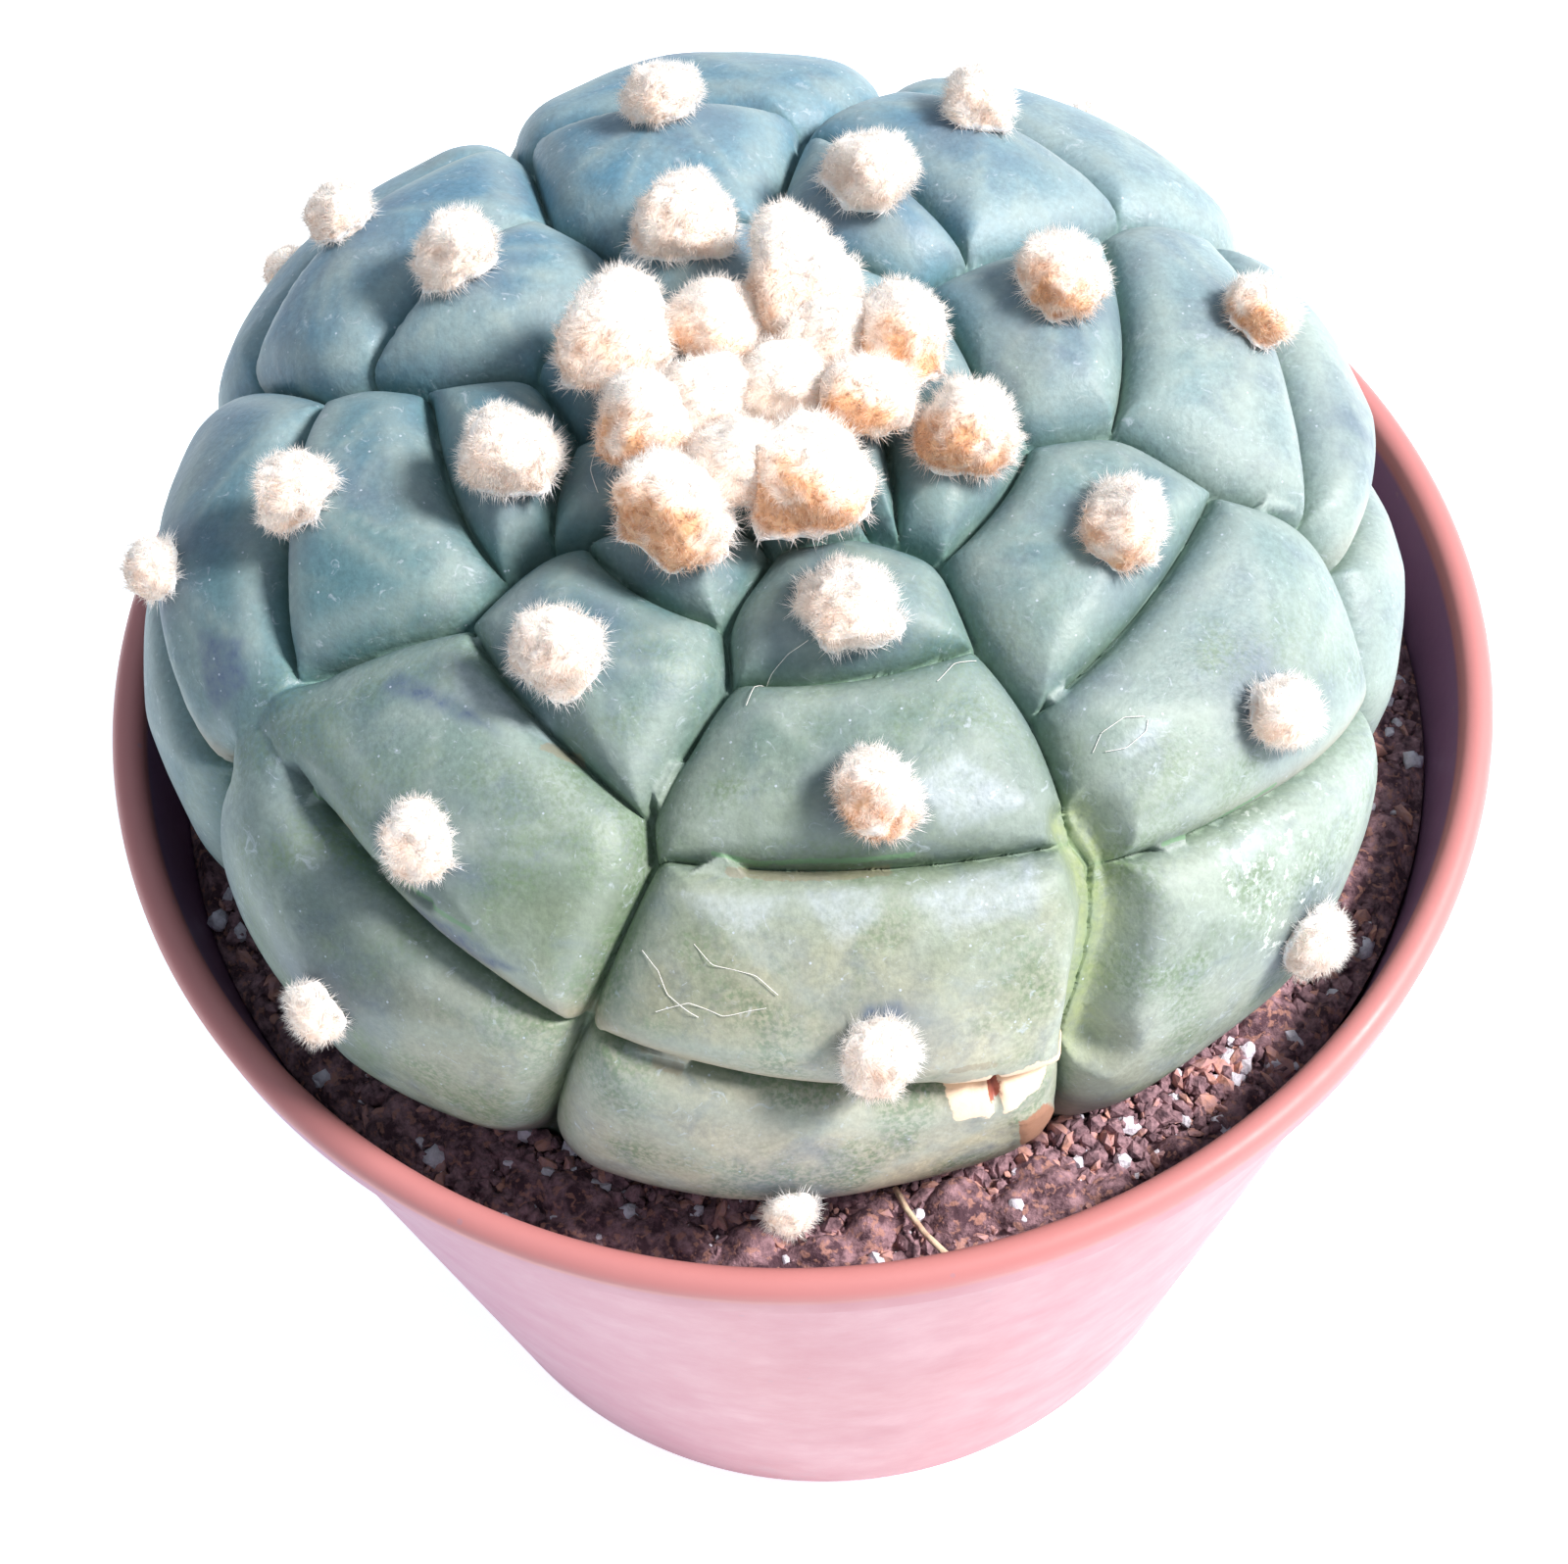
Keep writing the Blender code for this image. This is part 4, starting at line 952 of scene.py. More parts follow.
def pot_material(looks):
    """Terracotta-coloured plastic, bleached on the wall, with soil dust and scuffs, and painted
    shade on the left of the wall and on the inside.
    """
    made, tree, shader, place = new_material("terracotta_plastic")
    part = add_node(tree, "ShaderNodeSeparateXYZ", {0: place}).outputs
    height = part["Z"]
    cloud = noise_socket(tree, place, 22 * MM, 3.0, 0.6)
    lip = map_range(tree, height, POT_HEIGHT - 1.6 * MM, POT_HEIGHT - 1.1 * MM)
    wall = mix_colour(tree, map_range(tree, cloud, 0.35, 0.7, 0.0, 0.25), looks.wall, looks.lip)
    # Painted shade: the wall turns lavender towards -X, most at the front, away from the key light
    leftwards = map_range(tree, part["X"], -6 * MM, -30 * MM)
    in_front = map_range(tree, part["Y"], 4 * MM, -14 * MM, 0.15, 1.0)
    wall = tinted(tree, wall, leftwards, in_front, looks.shaded_wall)
    flat = add_node(tree, "ShaderNodeCombineXYZ", {0: part["X"], 1: part["Y"]})
    out = add_node(tree, "ShaderNodeVectorMath", {0: flat.outputs[0]}, operation="LENGTH")
    taper = (POT_TOP_RADIUS - POT_FOOT_RADIUS) / (POT_HEIGHT - POT_LIP_HEIGHT)
    skin_at = math_node(tree, "MULTIPLY_ADD", height, taper, POT_FOOT_RADIUS - POT_WALL / 2)
    # Painted shade: the inside of the wall is darker and bluer than the outside
    shaded_inside = math_node(tree, "LESS_THAN", out.outputs["Value"], skin_at)
    wall = mix_colour(tree, shaded_inside, wall, looks.inside)
    colour = mix_colour(tree, lip, wall, looks.lip)
    low = map_range(tree, height, 0.0, 24 * MM, 1.0, 0.0)
    smudge = map_range(tree, noise_socket(tree, place, 3.5 * MM, 4.0, 0.7), 0.56, 0.72)
    smudge = math_node(tree, "MULTIPLY", smudge, low)
    colour = tinted(tree, colour, smudge, 0.35, looks.dust)
    specks = add_node(tree, "ShaderNodeTexVoronoi", {"Vector": place, "Scale": 1 / (2.6 * MM)})
    dots = math_node(tree, "LESS_THAN", specks.outputs["Distance"], 0.07)
    colour = tinted(tree, colour, dots, 0.5, looks.dust)
    scuffs = noise_socket(tree, place, 6 * MM, 5.0, 0.7)
    grain = bump(tree, noise_socket(tree, place, 0.4 * MM, 3.0), 0.18, 0.05 * MM)
    set_inputs(tree, shader, {
        "Base Color": colour, "Roughness": map_range(tree, scuffs, 0.3, 0.7, 0.38, 0.55),
        "Specular IOR Level": 0.4, "Normal": grain})
    return made


def make_skin(looks):
    """The plant's body: even cells, finer along its creases, then its buried base and root."""
    cell = looks.cell * 1
    shown = np.arange(cell, FURROW_ENDS[1], cell)
    buried = OUTLINE[0][-len(BURIED_OUTLINE):]
    along, degrees, starts, counts = ring_table(shown, cell, LEAST_ROUND[0])
    deep = ring_table(buried, BURIED_CELL, LEAST_ROUND[1])
    starts += [len(along) + start for start in deep[2]]
    counts += deep[3]
    offsets = [0.5 * (number % 2) for rings in (shown, buried) for number in range(len(rings))]
    along = np.concatenate((along, deep[0], (0.0, buried[-1])))
    degrees = np.concatenate((degrees, deep[1], (0.0, 0.0)))
    points = on_skin(along, degrees)[0]
    crown, tip = len(points) - 2, len(points) - 1
    points[crown] = (PLANT_CENTRE.x, PLANT_CENTRE.y, GIRTH_HEIGHT + DOME_HEIGHT)
    points[tip] = (PLANT_CENTRE.x, PLANT_CENTRE.y, GIRTH_HEIGHT + OUTLINE[2][-1] - ROOT_TIP)
    faces = stitch(starts, counts, offsets)
    faces += [(crown, i, (i + 1) % counts[0]) for i in range(counts[0])]
    last, count = starts[-1], counts[-1]
    faces += [(tip, last + (i + 1) % count, last + i) for i in range(count)]
    faces = np.array(faces)
    for reach in FINE_REACHES:
        points, along, faces = halve_near(points, along, faces, reach)
    degrees = bearing(points)
    ends = points[[crown, tip]]
    points, normals, _ = on_skin(along, degrees)
    points[[crown, tip]] = ends
    height, masks = skin_relief(points, along, degrees)
    height[[crown, tip]] = 0.0
    points = points + normals * height[:, None]
    skin = mesh_object("cactus_skin", points, faces.tolist(), skin_material(looks), masks)
    return dress(skin, "cactus")


def strand_shape(name, bend, width):
    """One wool fibre of unit length: a slim three-sided spike, bent to one side."""
    points = [(width * math.cos(turn), width * math.sin(turn), 0.0)
              for turn in (0, math.tau / 3, 2 * math.tau / 3)]
    points.append((bend, 0.0, 1.0))
    faces = [(2, 1, 0), (0, 1, 3), (1, 2, 3), (2, 0, 3)]
    return mesh_object(name, points, faces, None)


def new_tree(name, inputs):
    """A node tree with named inputs, their identifiers and their sockets inside the tree."""
    tree = bpy.data.node_groups.new(name, "GeometryNodeTree")
    tree.interface.new_socket("Geometry", in_out="OUTPUT", socket_type="NodeSocketGeometry")
    names = {}
    for label, (kind, default) in inputs.items():
        socket = tree.interface.new_socket(label, in_out="INPUT", socket_type=f"NodeSocket{kind}")
        if default is not None:
            socket.default_value = default
        names[label] = socket.identifier
    return tree, names, add_node(tree, "NodeGroupInput").outputs


def random_socket(tree, given, low, high, **settings):
    """A random number, or three, for each point."""
    kind = "FLOAT_VECTOR" if isinstance(low, tuple) else "FLOAT"
    first = 0 if kind == "FLOAT_VECTOR" else 2
    values = {first: low, first + 1: high, "Seed": given["Seed"], **settings}
    node = add_node(tree, "FunctionNodeRandomValue", values, data_type=kind)
    return node.outputs[first // 2]


def real_copies(tree, given, spread, rotation, scale):
    """One of the given shapes at each point, as plain faces."""
    shapes = add_node(tree, "GeometryNodeCollectionInfo",
                      {"Collection": given["Shapes"], "Separate Children": True,
                       "Reset Children": True})
    placed = add_node(tree, "GeometryNodeInstanceOnPoints",
                      {"Points": spread.outputs["Points"], "Instance": shapes.outputs[0],
                       "Pick Instance": True, "Rotation": rotation, "Scale": scale})
    return add_node(tree, "GeometryNodeRealizeInstances", {0: placed.outputs[0]}).outputs[0]


def close_tree(tree, given, geometry):
    """Give the result its material and hand it out of the tree."""
    dyed = add_node(tree, "GeometryNodeSetMaterial", {"Geometry": geometry,
                                                      "Material": given["Material"]})
    add_node(tree, "NodeGroupOutput", {0: dyed.outputs[0]})


def run_nodes(target, made_tree, shapes, values):
    """Run a tree that copies some small shapes over an object, and keep the plain mesh."""
    tree, names = made_tree
    kit = bpy.data.collections.new("shapes")
    for shape in shapes:
        kit.objects.link(shape)
    modifier = target.modifiers.new("nodes", "NODES")
    modifier.node_group = tree
    modifier[names["Shapes"]] = kit
    for label, value in values.items():
        modifier[names[label]] = value
    bpy.context.view_layer.update()
    graph = bpy.context.evaluated_depsgraph_get()
    result = bpy.data.meshes.new_from_object(target.evaluated_get(graph))
    target.modifiers.clear()
    old = target.data
    name = old.name
    target.data = result
    bpy.data.meshes.remove(old)
    result.name = name
    for shape in shapes:
        bpy.data.objects.remove(shape, do_unlink=True)
    bpy.data.collections.remove(kit)


def fleece_tree():
    """Geometry Nodes that grow bent fibres on a felted core."""
    tree, names, given = new_tree("fleece", {
        "Geometry": ("Geometry", None), "Shapes": ("Collection", None), "Density": ("Float", 2e7),
        "Length": ("Float", 1.0 * MM), "Lean": ("Float", 0.8), "Lock": ("Float", 0.8 * MM),
        "Seed": ("Int", 1), "Material": ("Material", None)})
    named = "GeometryNodeInputNamedAttribute"
    grows = add_node(tree, named, {"Name": "grows"}, data_type="FLOAT").outputs["Attribute"]
    fringe = add_node(tree, named, {"Name": "fringe"}, data_type="FLOAT").outputs["Attribute"]
    density = math_node(tree, "MULTIPLY", grows, given["Density"])
    spread = add_node(tree, "GeometryNodeDistributePointsOnFaces",
                      {"Mesh": given["Geometry"], "Density": density, "Seed": given["Seed"]})
    place = add_node(tree, "GeometryNodeInputPosition").outputs[0]
    scale = math_node(tree, "DIVIDE", 1.0, given["Lock"])
    locks = add_node(tree, "ShaderNodeTexNoise", {"Vector": place, "Scale": scale, "Detail": 1.0})
    centred = add_node(tree, "ShaderNodeVectorMath", {0: locks.outputs["Color"], 1: (0.5,) * 3},
                       operation="SUBTRACT").outputs[0]
    stray = random_socket(tree, given, (-STRAY,) * 3, (STRAY,) * 3)
    push = math_node(tree, "MULTIPLY", given["Lean"], LOCK_PUSH)
    pushed = add_node(tree, "ShaderNodeVectorMath", {0: centred, "Scale": push},
                      operation="SCALE").outputs[0]
    lean = add_node(tree, "ShaderNodeVectorMath", {0: pushed, 1: stray}).outputs[0]
    way = add_node(tree, "ShaderNodeVectorMath", {0: spread.outputs["Normal"], 1: lean}).outputs[0]
    aimed = add_node(tree, "FunctionNodeAlignRotationToVector", {"Vector": way}, axis="Z")
    turned = add_node(tree, "FunctionNodeAxisAngleToRotation",
                      {"Axis": (0.0, 0.0, 1.0),
                       "Angle": random_socket(tree, given, 0.0, math.tau, ID=7)})
    rotation = add_node(tree, "FunctionNodeRotateRotation",
                        {"Rotation": aimed.outputs[0], "Rotate By": turned.outputs[0]},
                        rotation_space="LOCAL").outputs[0]
    vary = random_socket(tree, given, *STRAND_LENGTHS)
    longer = math_node(tree, "MULTIPLY_ADD", fringe, FRINGE_LONGER, 1.0)
    length = math_node(tree, "MULTIPLY", math_node(tree, "MULTIPLY", vary, longer),
                       given["Length"])
    both = add_node(tree, "GeometryNodeJoinGeometry")
    tree.links.new(given["Geometry"], both.inputs[0])
    tree.links.new(real_copies(tree, given, spread, rotation, length), both.inputs[0])
    close_tree(tree, given, both.outputs[0])
    return tree, names


def core_ball():
    """Directions and faces of the ball that every felted core is shaped from."""
    work = bmesh.new()
    bmesh.ops.create_icosphere(work, subdivisions=CORE_SUBDIVISIONS, radius=1.0)
    ways = np.array([vert.co for vert in work.verts])
    faces = [tuple(vert.index for vert in face.verts) for face in work.faces]
    work.free()
    return ways, np.array(faces)


def felt_core(ways, tuft, young, chance):
    """One lump of matted wool with a flared fringe at its foot, and its masks."""
    rib, number, degrees, along_mm = tuft
    spot = np.array([along_mm * MM]), np.array([float(degrees)])
    place, normal, downhill = (v[0] for v in on_skin(*spot))
    axes = np.stack((downhill, np.cross(normal, downhill), normal))
    if young:
        lift = YOUNG_TUFT_LIFT + float(peak_height(max(rib, 0), spot[0][0]))
    else:
        lift = TUFT_LIFT + float(skin_relief(place[None, :], *spot)[0][0])
    size = float(np.interp(spot[0][0], TUFT_SIZE_ENDS, (TUFT_SIZE_CROWN, TUFT_SIZE_OUTER)))
    size *= CORE_SHARE * (GROWTH.get((rib, number), 1.0) if rib >= 0 else CROWN_TUFT_GROWTH)
    if young:
        size *= YOUNG_FULLNESS
    seed = chance.uniform(0, 50)
    cut = np.full(len(ways), CORE_REACH)
    for _ in range(CORE_PLANES):
        facing = Vector((chance.gauss(0, 1), chance.gauss(0, 1), chance.gauss(0.2, 0.8)))
        off = chance.uniform(*CORE_CUTS)
        slant = np.maximum(ways @ np.array(facing.normalized()), LEAST_SLANT)
        cut = np.minimum(cut, off / slant)
    radius = ROUND_SHARE + CUT_SHARE * cut
    if (rib, number) in DRAWN_OUT:
        toward = (ways @ axes) @ np.array(DRAWN_OUT[rib, number])
        radius += POINT_LENGTH * np.clip(toward - POINT_START, 0.0, 1.0) ** 2
    for lump, bulge in CORE_LUMPS:
        radius += bulge * soft_noise(ways, lump, seed + lump)
    rise = np.arcsin(np.clip(ways[:, 2], -1, 1))
    turn = np.arctan2(ways[:, 1], ways[:, 0])
    lobes = np.abs(np.sin(turn * SCALLOPS / 2 + seed + 0.5 * np.sin(2 * turn + seed)))
    uneven = 0.5 + soft_noise(ways, 0.7, seed + 5)
    hem = HEM + HEM_WAVE * np.sin(turn * 2 + seed)
    fringe = np.exp(-((rise - hem) / HEM_WIDTH) ** 2)
    flare = 1 + fringe * (FLARE[0] + FLARE[1] * lobes * np.clip(uneven, 0, 1))
    flare -= NECK * smooth_step(*NECK_RISE, rise)
    taller = chance.uniform(*YOUNG_TALLER) if young else GROWN_TALLER
    taller = taller * smooth_step(*TALLER_RISE, rise)
    local = ways * radius[:, None] * size
    local *= np.stack((flare, flare, TUFT_FLATTEN * (1 + taller)), axis=-1)
    points = place + normal * lift + local @ axes
    # Tan on the side away from the key light: partly real staining, partly painted shade
    stained_shaded = smooth_step(*STAIN_AND_SHADE_EDGE, (ways @ axes) @ np.array(STAINED_SHADED_SIDE))
    patchy = STAIN_AND_SHADE_PATCHES[0] + STAIN_AND_SHADE_PATCHES[1] * soft_noise(ways, 0.5, seed + 9)
    masks = {
        "stain": np.clip(stained_shaded * patchy * STAIN_AND_SHADE.get((rib, number), USUAL_STAIN_AND_SHADE), 0, 1),
        "fringe": np.clip(fringe * 1.3, 0, 1),
        "grows": BARE_FOOT + (1 - BARE_FOOT) * smooth_step(*NAP_RISE, rise),
    }
    return points, masks


def make_wool(name, tufts, young, node, looks, seed):
    """A piece of wool: a felted core at each place, with a nap of short fibres."""
    ways, ball_faces = core_ball()
    chance = random.Random(seed)
    points, faces, masks = [], [], {}
    for number, tuft in enumerate(tufts):
        core, core_masks = felt_core(ways, tuft, young, chance)
        points.append(core)
        faces.append(ball_faces + number * len(ways))
        for mask, values in core_masks.items():
            masks.setdefault(mask, []).append(values)
    masks = {mask: np.concatenate(values) for mask, values in masks.items()}
    surface = wool_material(name, looks)
    wool = mesh_object(name, np.concatenate(points), np.concatenate(faces).tolist(), surface,
                       masks)
    strands = [strand_shape(f"strand_{i}", bend, looks.strand_width / looks.strand_length)
               for i, bend in enumerate(STRAND_BENDS)]
    density = looks.young_density if young else looks.density
    run_nodes(wool, fleece_tree(), strands, {
        "Density": density / 1, "Length": looks.strand_length,
        "Lean": looks.lean, "Seed": seed, "Material": surface})
    return dress(wool, node)


def all_tufts():
    """Rib, number in it, degrees and millimetres along of each areole that has wool."""
    return [(rib, number, *place) for rib, row in enumerate(RIBS)
            for number, place in enumerate(row) if (rib, number) not in WORN_AREOLES]


def make_crown_wool(looks):
    """The young tufts, grown close together at the crown."""
    young = [tuft for tuft in all_tufts() if tuft[3] * MM < CROWN_REACH]
    young += [(-1, number, *place) for number, place in enumerate(CROWN_TUFTS)]
    return make_wool("crown_wool_fleece", young, True, "crown_wool", looks, WOOL_SEED)


def make_areole_wool(looks):
    """The tufts of the older areoles, in a front piece and a back one."""
    grown = [tuft for tuft in all_tufts() if tuft[3] * MM >= CROWN_REACH]
    front = [tuft for tuft in grown if abs(tuft[2]) < FRONT_TURN]
    back = [tuft for tuft in grown if abs(tuft[2]) >= FRONT_TURN]
    make_wool("areole_wool_front", front, False, None, looks, WOOL_SEED + 1)
    make_wool("areole_wool_back", back, False, None, looks, WOOL_SEED + 2)


def pot_wall_radius(height):
    """Outside radius of the tapered wall."""
    return np.interp(height, (0.0, POT_HEIGHT - POT_LIP_HEIGHT), (POT_FOOT_RADIUS, POT_TOP_RADIUS))


def pot_outline():
    """Closed half section of the pot: round the lip, down the outside, and up the inside."""
    lip = POT_LIP_WIDTH / 2
    lip_middle = POT_RIM_RADIUS - lip
    points = []
    for i in range(POT_LIP_STEPS + 1):
        turn = math.pi * i / POT_LIP_STEPS
        points.append((lip_middle - lip * math.cos(turn), POT_HEIGHT - lip + lip * math.sin(turn)))
    under_lip = POT_HEIGHT - POT_LIP_HEIGHT
    points.append((POT_RIM_RADIUS - POT_LIP_TUCK, under_lip))
    points.append((float(pot_wall_radius(under_lip)), under_lip - POT_LIP_TUCK / 2))
    rounding = POT_FOOT_ROUNDING
    foot = float(pot_wall_radius(rounding))
    for i in range(POT_ROUNDING_STEPS + 1):
        turn = math.pi / 2 * i / POT_ROUNDING_STEPS
        points.append((foot - rounding * (1 - math.cos(turn)), rounding * (1 - math.sin(turn))))
    ring_inside = foot - rounding - POT_FOOT_RING_WIDTH
    points.append((ring_inside, 0.0))
    points.append((ring_inside - POT_RECESS_TAPER, POT_FOOT_RECESS))
    points.append((0.0, POT_FOOT_RECESS))
    floor = POT_FOOT_RECESS + POT_FLOOR
    points.append((0.0, floor))
    corner = floor + POT_INSIDE_ROUNDING
    points.append((float(pot_wall_radius(floor)) - POT_WALL - POT_INSIDE_ROUNDING, floor))
    points.append((float(pot_wall_radius(corner)) - POT_WALL, corner))
    points.append((float(pot_wall_radius(under_lip)) - POT_WALL, under_lip))
    return points


def object_from_bmesh(name, work, surface=None):
    """An object from work in progress, which is used up."""
    mesh = bpy.data.meshes.new(name)
    work.to_mesh(mesh)
    work.free()
    made = bpy.data.objects.new(name, mesh)
    bpy.context.scene.collection.objects.link(made)
    if surface is not None:
        mesh.materials.append(surface)
    return made


def make_pot(looks):
    """The tapered shell with its rolled lip, foot ring and drain holes."""
    work = bmesh.new()
    verts = [work.verts.new((radius, 0.0, height)) for radius, height in pot_outline()]
    edges = [work.edges.new(pair) for pair in zip(verts, verts[1:] + verts[:1])
             if max(vert.co.x for vert in pair) > LEAST]
    bmesh.ops.spin(work, geom=verts + edges, cent=(0, 0, 0), axis=(0, 0, 1), angle=math.tau,
                   steps=POT_SEGMENTS)
    bmesh.ops.remove_doubles(work, verts=work.verts, dist=MERGE_WITHIN)
    bmesh.ops.recalc_face_normals(work, faces=work.faces)
    pot = object_from_bmesh("pot_shell", work, pot_material(looks))
    drills = bmesh.new()
    for i in range(DRAIN_HOLES):
        turn = math.tau * i / DRAIN_HOLES
        place = Vector((math.cos(turn), math.sin(turn), 0)) * DRAIN_RING_RADIUS
        made = bmesh.ops.create_cone(drills, cap_ends=True, segments=DRAIN_HOLE_SEGMENTS,
                                     radius1=DRAIN_HOLE_RADIUS, radius2=DRAIN_HOLE_RADIUS,
                                     depth=DRILL_LENGTH)
        bmesh.ops.translate(drills, verts=made["verts"],
                            vec=place + Vector((0, 0, POT_FOOT_RECESS)))
    cutter = object_from_bmesh("drills", drills)
    cut = pot.modifiers.new("holes", "BOOLEAN")
    cut.operation = "DIFFERENCE"
    cut.solver = "EXACT"
    cut.object = cutter
    graph = bpy.context.evaluated_depsgraph_get()
    result = bpy.data.meshes.new_from_object(pot.evaluated_get(graph))
    pot.modifiers.clear()
    pot.data = result
    bpy.data.objects.remove(cutter, do_unlink=True)
    pot.data.shade_smooth()
    pot.data.set_sharp_from_angle(angle=POT_SHARP_FROM)
    return dress(pot, "pot")


def soil_slope(across, degrees):
    """Height of the soil's surface without its crumbs, from the plant (0) to the pot (1)."""
    wave = np.sin(np.radians(degrees * SOIL_WAVES + SOIL_WAVE_START))
    return SOIL_TOP + SOIL_WAVE_HEIGHT * wave - SOIL_FALL * across


def soil_crumbs(points):
    """Height of the round crumbs of grit over the soil's surface."""
    chance = random.Random(GRIT_SEED)
    crumbs = np.zeros(len(points))
    for _ in range(GRIT_COUNT):
        turn = chance.uniform(0, math.tau)
        out = chance.uniform(*GRIT_RING)
        size = chance.uniform(*GRIT_RADIUS)
        tall = chance.uniform(*GRIT_HEIGHT)
        away = np.hypot(points[:, 0] - out * math.cos(turn), points[:, 1] - out * math.sin(turn))
        crumbs = np.maximum(crumbs, tall * np.sqrt(np.clip(1 - (away / size) ** 2, 0.0, 1.0)))
    return crumbs


def round_pot(angles):
    """Directions out from the pot's axis, seen from above."""
    turn = np.radians(angles)
    return np.stack((np.sin(turn), -np.cos(turn)), axis=-1)


def soil_edge(angles):
    """Distances along the skin at which the soil meets it."""
    return np.interp(soil_slope(0.0, angles) - GIRTH_HEIGHT, OUTLINE[2][::-1], OUTLINE[0][::-1])


def soil_rows(angles, wall_gap, rows):
    """Shares of the way from the plant to the pot's wall, and the places there from above."""
    edge = soil_edge(angles)
    points, normals, _ = on_skin(edge, angles)
    height, _ = skin_relief(points, edge, angles)
    inner = (points + normals * (height + GAP)[:, None])[:, :2]
    outer = round_pot(angles) * (float(pot_wall_radius(SOIL_TOP)) - POT_WALL - wall_gap)
    return [(across, inner * (1 - across) + outer * across)
            for across in np.arange(rows + 1) / rows]


def band_faces(count, rings):
    """Faces between rings that follow each other and have the same number of points."""
    faces = []
    for ring in range(rings - 1):
        for i in range(count):
            here, beside = ring * count + i, ring * count + (i + 1) % count
            faces.append((here, beside, beside + count, here + count))
    return faces


def make_soil(looks):
    """The filling of the pot, with a crumbly top that follows the plant's skin."""
    angles = np.linspace(0.0, 360.0, SOIL_COLUMNS, endpoint=False)
    rings = []
    for distance in (*OUTLINE[0][:-1 - len(BURIED_OUTLINE):-1], soil_edge(angles)):
        points, normals, _ = on_skin(np.full(len(angles), distance), angles)
        rings.append(points + normals * GAP)
    size, tall = SOIL_GRAIN
    for across, flat in soil_rows(angles, GAP, SOIL_TOP_ROWS):
        fade = min(1.0, (1 - across) / SOIL_EDGE, across / SOIL_EDGE)
        level = soil_slope(across, angles) + soil_crumbs(flat) * fade
        level += tall * soft_noise(np.column_stack((flat, level)), size, 5) * fade
        rings.append(np.column_stack((flat, level)))
    floor = POT_FOOT_RECESS + POT_FLOOR + GAP
    corner = floor + POT_INSIDE_ROUNDING
    for radius, level in ((float(pot_wall_radius(corner)) - POT_WALL - GAP, corner),
                          (float(pot_wall_radius(floor)) - POT_WALL - GAP - POT_INSIDE_ROUNDING,
                           floor)):
        rings.append(np.column_stack((round_pot(angles) * radius, np.full(len(angles), level))))
    points = np.concatenate(rings)
    count = SOIL_COLUMNS
    faces = band_faces(count, len(rings))
    start, end = len(points), len(points) + 1
    points = np.vstack((points, [(PLANT_CENTRE.x, PLANT_CENTRE.y,
                                  GIRTH_HEIGHT + OUTLINE[2][-1] - ROOT_TIP - GAP),
                                 (0, 0, floor)]))
    faces += [(start, (i + 1) % count, i) for i in range(count)]
    last = (len(rings) - 1) * count
    faces += [(end, last + i, last + (i + 1) % count) for i in range(count)]
    soil = mesh_object("soil_bed", points, faces, soil_material(looks))
    work = bmesh.new()
    work.from_mesh(soil.data)
    bmesh.ops.recalc_face_normals(work, faces=work.faces)
    work.to_mesh(soil.data)
    work.free()
    return dress(soil, "soil")


def crumb_shape(name, seed, flat):
    """A rough lump of twenty faces, about one unit across."""
    work = bmesh.new()
    bmesh.ops.create_icosphere(work, subdivisions=1, radius=0.5)
    chance = random.Random(seed)
    for vert in work.verts:
        vert.co *= chance.uniform(*CRUMB_UNEVEN)
        vert.co.z *= flat
        vert.co.x *= CRUMB_LENGTH
    return object_from_bmesh(name, work)


def scatter_tree():
    """Geometry Nodes that strew crumbs over the soil round the plant."""
    tree, names, given = new_tree("strewn", {
        "Geometry": ("Geometry", None), "Shapes": ("Collection", None), "Density": ("Float", 1e6),
        "Least": ("Float", 0.4 * MM), "Most": ("Float", 1.4 * MM), "Seed": ("Int", 1),
        "Material": ("Material", None)})
    spread = add_node(tree, "GeometryNodeDistributePointsOnFaces",
                      {"Mesh": given["Geometry"], "Density": given["Density"],
                       "Seed": given["Seed"]})
    turn = random_socket(tree, given, (0.0,) * 3, (math.tau,) * 3)
    few_big = math_node(tree, "POWER", random_socket(tree, given, 0.0, 1.0, ID=3), 2.5)
    size = map_range(tree, few_big, 0.0, 1.0, given["Least"], given["Most"])
    close_tree(tree, given, real_copies(tree, given, spread, turn, size))
    return tree, names


def soil_ring(name):
    """A flat ring just over the soil, on which loose crumbs are strewn."""
    angles = np.linspace(0.0, 360.0, STREWN_COLUMNS, endpoint=False)
    points = [np.column_stack((flat, soil_slope(across, angles) + STREWN_LIFT))
              for across, flat in soil_rows(angles, STREWN_GAP, STREWN_ROWS)]
    facing_up = [(first, *rest[::-1]) for first, *rest in band_faces(STREWN_COLUMNS, len(points))]
    return mesh_object(name, np.concatenate(points), facing_up, None)


def make_crumbs(name, surface, density, sizes, seed, flat):
    """One kind of loose crumb, strewn over the soil."""
    target = soil_ring(name)
    crumbs = [crumb_shape(f"crumb_{i}", seed + i, flat) for i in range(CRUMB_SHAPES)]
    run_nodes(target, scatter_tree(), crumbs, {
        "Density": density, "Least": sizes[0] * MM, "Most": sizes[1] * MM, "Seed": seed,
        "Material": surface})
    return dress(target, None)


